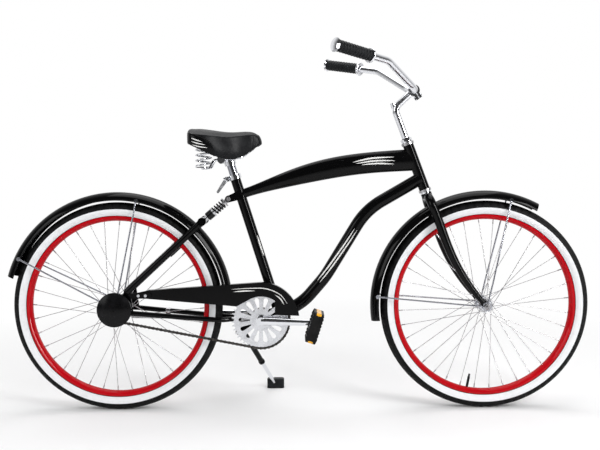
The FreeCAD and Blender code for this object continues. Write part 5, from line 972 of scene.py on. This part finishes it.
def amber():
    """Clear amber plastic over a grid of prisms, each with a painted glint in its middle."""
    finish = Finish("amber_lens", Specular_IOR_Level=0.3, Coat_Weight=0.15, Coat_Roughness=0.03)
    grid = {"Vector": finish.spot(), "Scale": 420.0, "Randomness": 0.0}
    prism = finish.add("TexVoronoi", {"distance": "CHEBYCHEV"}, grid, "Distance")
    # Painted glint: lighter amber in each prism's middle, darker towards its edges; the roughness follows the same
    # grid.
    prism_painted_glint = finish.between(prism, 0.1, 0.6)
    return finish.feed(
        Base_Color=finish.blend(prism_painted_glint, rgb(0.95, 0.54, 0.04), rgb(0.72, 0.30, 0.01)),
        Roughness=0.10 + 0.15 * prism_painted_glint,
        Normal=finish.bump(prism, 0.0003, 0.6),
    )


amber_lens = amber()


def signed_power(value, exponent):
    """The size of a number to a power, with its sign kept; low powers square off a circle."""
    return np.sign(value) * np.abs(value) ** exponent


def lens(name, centre, long_way, body):
    """Superellipse section carried round the pedal's end: quarter turn, straight run, quarter turn."""
    length, width = PEDAL_HALF_LENGTH - PEDAL_CORNER, PEDAL_HALF_WIDTH - PEDAL_CORNER
    corner = np.linspace(math.asin(1 - LENS_DEPTH / PEDAL_CORNER), np.pi / 2, LENS_CORNER_STEPS)
    turn = np.concatenate([corner, np.full(LENS_RUN_STEPS, np.pi / 2), corner[::-1]])
    still = np.ones(LENS_CORNER_STEPS)
    side = np.concatenate([-still, np.linspace(-1, 1, LENS_RUN_STEPS + 2)[1:-1], still])
    outward = np.stack([np.sin(turn), np.sign(side) * np.cos(turn)], 1)
    path = np.stack([np.full(len(side), length), width * side], 1) + PEDAL_CORNER * outward
    around = full_turn(LENS_SIDES)[None, :, None]
    middle, half = (LENS_PROUD - LENS_SUNK) / 2, (LENS_PROUD + LENS_SUNK) / 2
    rise = middle + half * signed_power(np.cos(around), LENS_POWER)
    size = np.ones(len(path))
    size[[0, -1]] = TINY
    size = size[:, None, None]
    upward = np.cross(long_way, leftward)
    plan = path[:, None] + rise * size * outward[:, None]
    grid = plan[..., :1] * long_way + plan[..., 1:] * leftward
    grid = grid + LENS_HALF_HEIGHT * size * signed_power(np.sin(around), LENS_POWER) * upward
    return surface(name, centre + MM * grid, amber_lens, body)


for label in ("right", "left"):
    centre = np.array(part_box(label + "_pedal")).mean(0)
    for end, word in ((-1, "lower"), (1, "upper")):
        piece = lens(f"{label}_pedal_lens_{word}", centre, end * pedal_way, "pedal_" + label)
        print(piece.name, "faces", len(piece.data.polygons))

# %% [markdown]
# Shoes must not slip, so both long edges of a pedal carry a row of rubber blocks above and below.
# A row is a section with a rounded top carried along the edge, and its height rises and falls in
# steps. Sinking its foot into the pedal leaves no gap to see through.

# %% Pedal treads
TREAD_HALF_WIDTH, TREAD_INSET = 3.2, 3.8
TREAD_BLOCKS, TREAD_HALF_LENGTH = 7, 37.0
TREAD_LOW, TREAD_HIGH, TREAD_SUNK = 0.4, 2.6, 0.5
TREAD_FLANK = (0.10, 0.20)  # shares of a block
TREAD_POWER = 0.5
TREAD_STEPS, TREAD_SIDES = 24, 16
PEDAL_HALF_HEIGHT = 15.0


def tread(name, edge, long_way, outward, body):
    """Superellipse section along an edge, its height stepping between low and high per block."""
    share = np.linspace(0, 1, TREAD_STEPS * TREAD_BLOCKS + 1)
    wave = np.abs((share * TREAD_BLOCKS) % 1 - 0.5)
    height = TREAD_LOW + (TREAD_HIGH - TREAD_LOW) * ramp(0.5 - wave, *TREAD_FLANK)
    size = np.ones((len(share), 1, 1))
    size[[0, -1]] = TINY
    turn = full_turn(TREAD_SIDES)[None, :, None]
    reach = np.where(np.sin(turn) > 0, height[:, None, None], TREAD_SUNK)
    rise = reach * signed_power(np.sin(turn), TREAD_POWER)
    along = TREAD_HALF_LENGTH * (2 * share - 1)[:, None, None] * long_way
    wide = TREAD_HALF_WIDTH * signed_power(np.cos(turn), TREAD_POWER) * leftward
    return surface(name, edge + MM * (along + size * (wide + rise * outward)), rubber, body)


for label in ("right", "left"):
    centre = np.array(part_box(label + "_pedal")).mean(0)
    for face, word in ((-1, "lower"), (1, "upper")):
        outward = face * np.cross(pedal_way, leftward)
        for flank, edge_word in ((-1, "outer"), (1, "inner")):
            shift = PEDAL_HALF_HEIGHT * outward + flank * (PEDAL_HALF_WIDTH - TREAD_INSET) * leftward
            name = f"{label}_pedal_tread_{word}_{edge_word}"
            piece = tread(name, centre + MM * shift, pedal_way, outward, "pedal_" + label)
            print(piece.name, "faces", len(piece.data.polygons))

# %% [markdown]
# The picture is taken on a plain pale floor. The floor's colour fades into plain white away from
# the bicycle, so no horizon shows, and near the bicycle it keeps the soft shadow.

# %% Floor
FLOOR_HALF = 9.0
FADE_FROM, FADE_TO = 0.8, 1.9


def floor_material():
    """Matt pale floor, fading to white light with distance from the middle."""
    finish = Finish("pale_floor", Specular_IOR_Level=0.15)
    grain = finish.noise(3.0, 5.0)
    middle = finish.add("VectorMath", {"operation": "LENGTH"}, {0: finish.spot()}, "Value")
    finish.feed(Base_Color=finish.blend(grain, rgb(0.88, 0.88, 0.885), rgb(0.91, 0.91, 0.915)),
                Roughness=0.45 + 0.2 * grain)
    glow = finish.add("Emission", {}, {"Color": rgb(1.0, 1.0, 1.0), "Strength": 1.0})
    sight = finish.add("LightPath", {}, {}, "Is Camera Ray")
    shader = Wire(finish, finish.shader.outputs[0])
    away = finish.between(middle, FADE_FROM, FADE_TO) * sight
    mixed = finish.add("MixShader", {}, {0: away, 1: shader, 2: glow})
    output = next(node for node in finish.tree.nodes if node.type == "OUTPUT_MATERIAL")
    finish.tree.links.new(mixed.socket, output.inputs["Surface"])
    return finish.material


corners = FLOOR_HALF * np.array([[[-1, -1, 0], [1, -1, 0]], [[-1, 1, 0], [1, 1, 0]]], float)
floor_mesh = bpy.data.meshes.new("floor")
floor_mesh.from_pydata(corners.reshape(-1, 3).tolist(), [], [(0, 1, 3, 2)])
floor_mesh.materials.append(floor_material())
floor = into_scene("floor", floor_mesh)
print("floor half width", FLOOR_HALF)

# %% [markdown]
# Soft light comes from the sky of the room and three large lamps. What is seen straight on is
# white; what a mirror sees is white behind the bicycle and a dim room in front of it, because
# gloss black and chrome take all their drawing from what they reflect. A tall narrow strip adds
# no light of its own: only reflections show it, as a gleam along tubes, fork and saddle.

# %% Lamps and room
ROOM_LEVEL = 0.50
ROOM_MIRROR_FRONT, ROOM_MIRROR_BACK = 0.06, 0.92
ROOM_RAMP = (-0.15, 0.5)  # from in front of the bicycle to behind it


def room():
    """Light for surfaces, white for the eye, and a front-to-back ramp for mirrors."""
    world = bpy.data.worlds.new("studio")
    world.use_nodes = True
    bpy.context.scene.world = world
    world.node_tree.nodes.clear()
    light = Nodes(world.node_tree)
    direction = light.add("TexCoord", {}, {}, "Generated")
    backward = light.add("SeparateXYZ", {}, {0: direction}, "Y")
    by_eye, by_gloss, by_glass = (light.add("LightPath", {}, {}, name) for name in (
        "Is Camera Ray", "Is Glossy Ray", "Is Transmission Ray"))
    mirror = light.between(backward, *ROOM_RAMP, ROOM_MIRROR_FRONT, ROOM_MIRROR_BACK)
    seen = light.add("Math", {"operation": "MAXIMUM"}, {0: by_eye, 1: by_glass})
    mirrored = by_gloss * (1 - seen)
    level = seen + mirrored * mirror + (1 - seen) * (1 - by_gloss) * ROOM_LEVEL
    background = light.add("Background", {}, {"Color": rgb(1.0, 1.0, 1.0), "Strength": level})
    output = world.node_tree.nodes.new("ShaderNodeOutputWorld")
    world.node_tree.links.new(background.socket, output.inputs["Surface"])


def lamp(name, spot, aim, wide, tall, power_watts):
    """A soft box at a spot, turned to face its aim."""
    light = bpy.data.lights.new(name, "AREA")
    light.shape = "RECTANGLE"
    light.size = wide
    light.size_y = tall
    light.energy = power_watts
    piece = into_scene(name, light)
    piece.location = spot
    piece.rotation_euler = (Vector(aim) - Vector(spot)).to_track_quat("-Z", "Y").to_euler()
    return piece


room()
lamp("key_lamp", (2.3, -2.4, 2.5), aim=(0.1, 0.0, 0.5), wide=1.4, tall=1.4, power_watts=70)
lamp("fill_lamp", (-2.6, -1.8, 1.7), aim=(-0.1, 0.0, 0.5), wide=1.6, tall=1.6, power_watts=24)
lamp("top_lamp", (0.1, 0.5, 3.0), aim=(0.0, 0.0, 0.3), wide=2.4, tall=2.4, power_watts=46)
gleam = lamp("gleam_strip", (2.8, -2.0, 1.25), aim=(0.0, 0.0, 0.6), wide=0.35, tall=1.9, power_watts=75)
gleam.visible_diffuse = False
bpy.context.scene.view_settings.view_transform = "Standard"
print("lamps", len(bpy.data.lights))

# %% [markdown]
# The camera stands three metres to the bicycle's right, at the height of the saddle, tipped six
# degrees down. Its turn is built from three angles in radians: yaw, pitch and a trace of roll.

# %% Camera
CAMERA_SPOT = (-0.01744, -3.01488, 0.90330)
YAW, PITCH, ROLL = 0.00756, 0.10590, -0.00409
FOCAL_PIXELS = 953.24
PHOTO_WIDTH = 600
SENSOR = 36.0

forward = Vector((math.sin(YAW) * math.cos(PITCH), math.cos(YAW) * math.cos(PITCH), -math.sin(PITCH)))
right = Vector((math.cos(YAW), -math.sin(YAW), 0.0))
up = right.cross(forward)
rolled_right = right * math.cos(ROLL) + up * math.sin(ROLL)
rolled_up = up * math.cos(ROLL) - right * math.sin(ROLL)
view = bpy.data.cameras.new("camera")
view.sensor_fit = "HORIZONTAL"
view.sensor_width = SENSOR
view.lens = FOCAL_PIXELS * SENSOR / PHOTO_WIDTH
camera = into_scene("camera", view)
turn = Matrix((rolled_right, rolled_up, -forward)).transposed().to_4x4()
camera.matrix_world = Matrix.Translation(CAMERA_SPOT) @ turn
bpy.context.scene.camera = camera
print("camera lens", round(view.lens, 2), "mm")
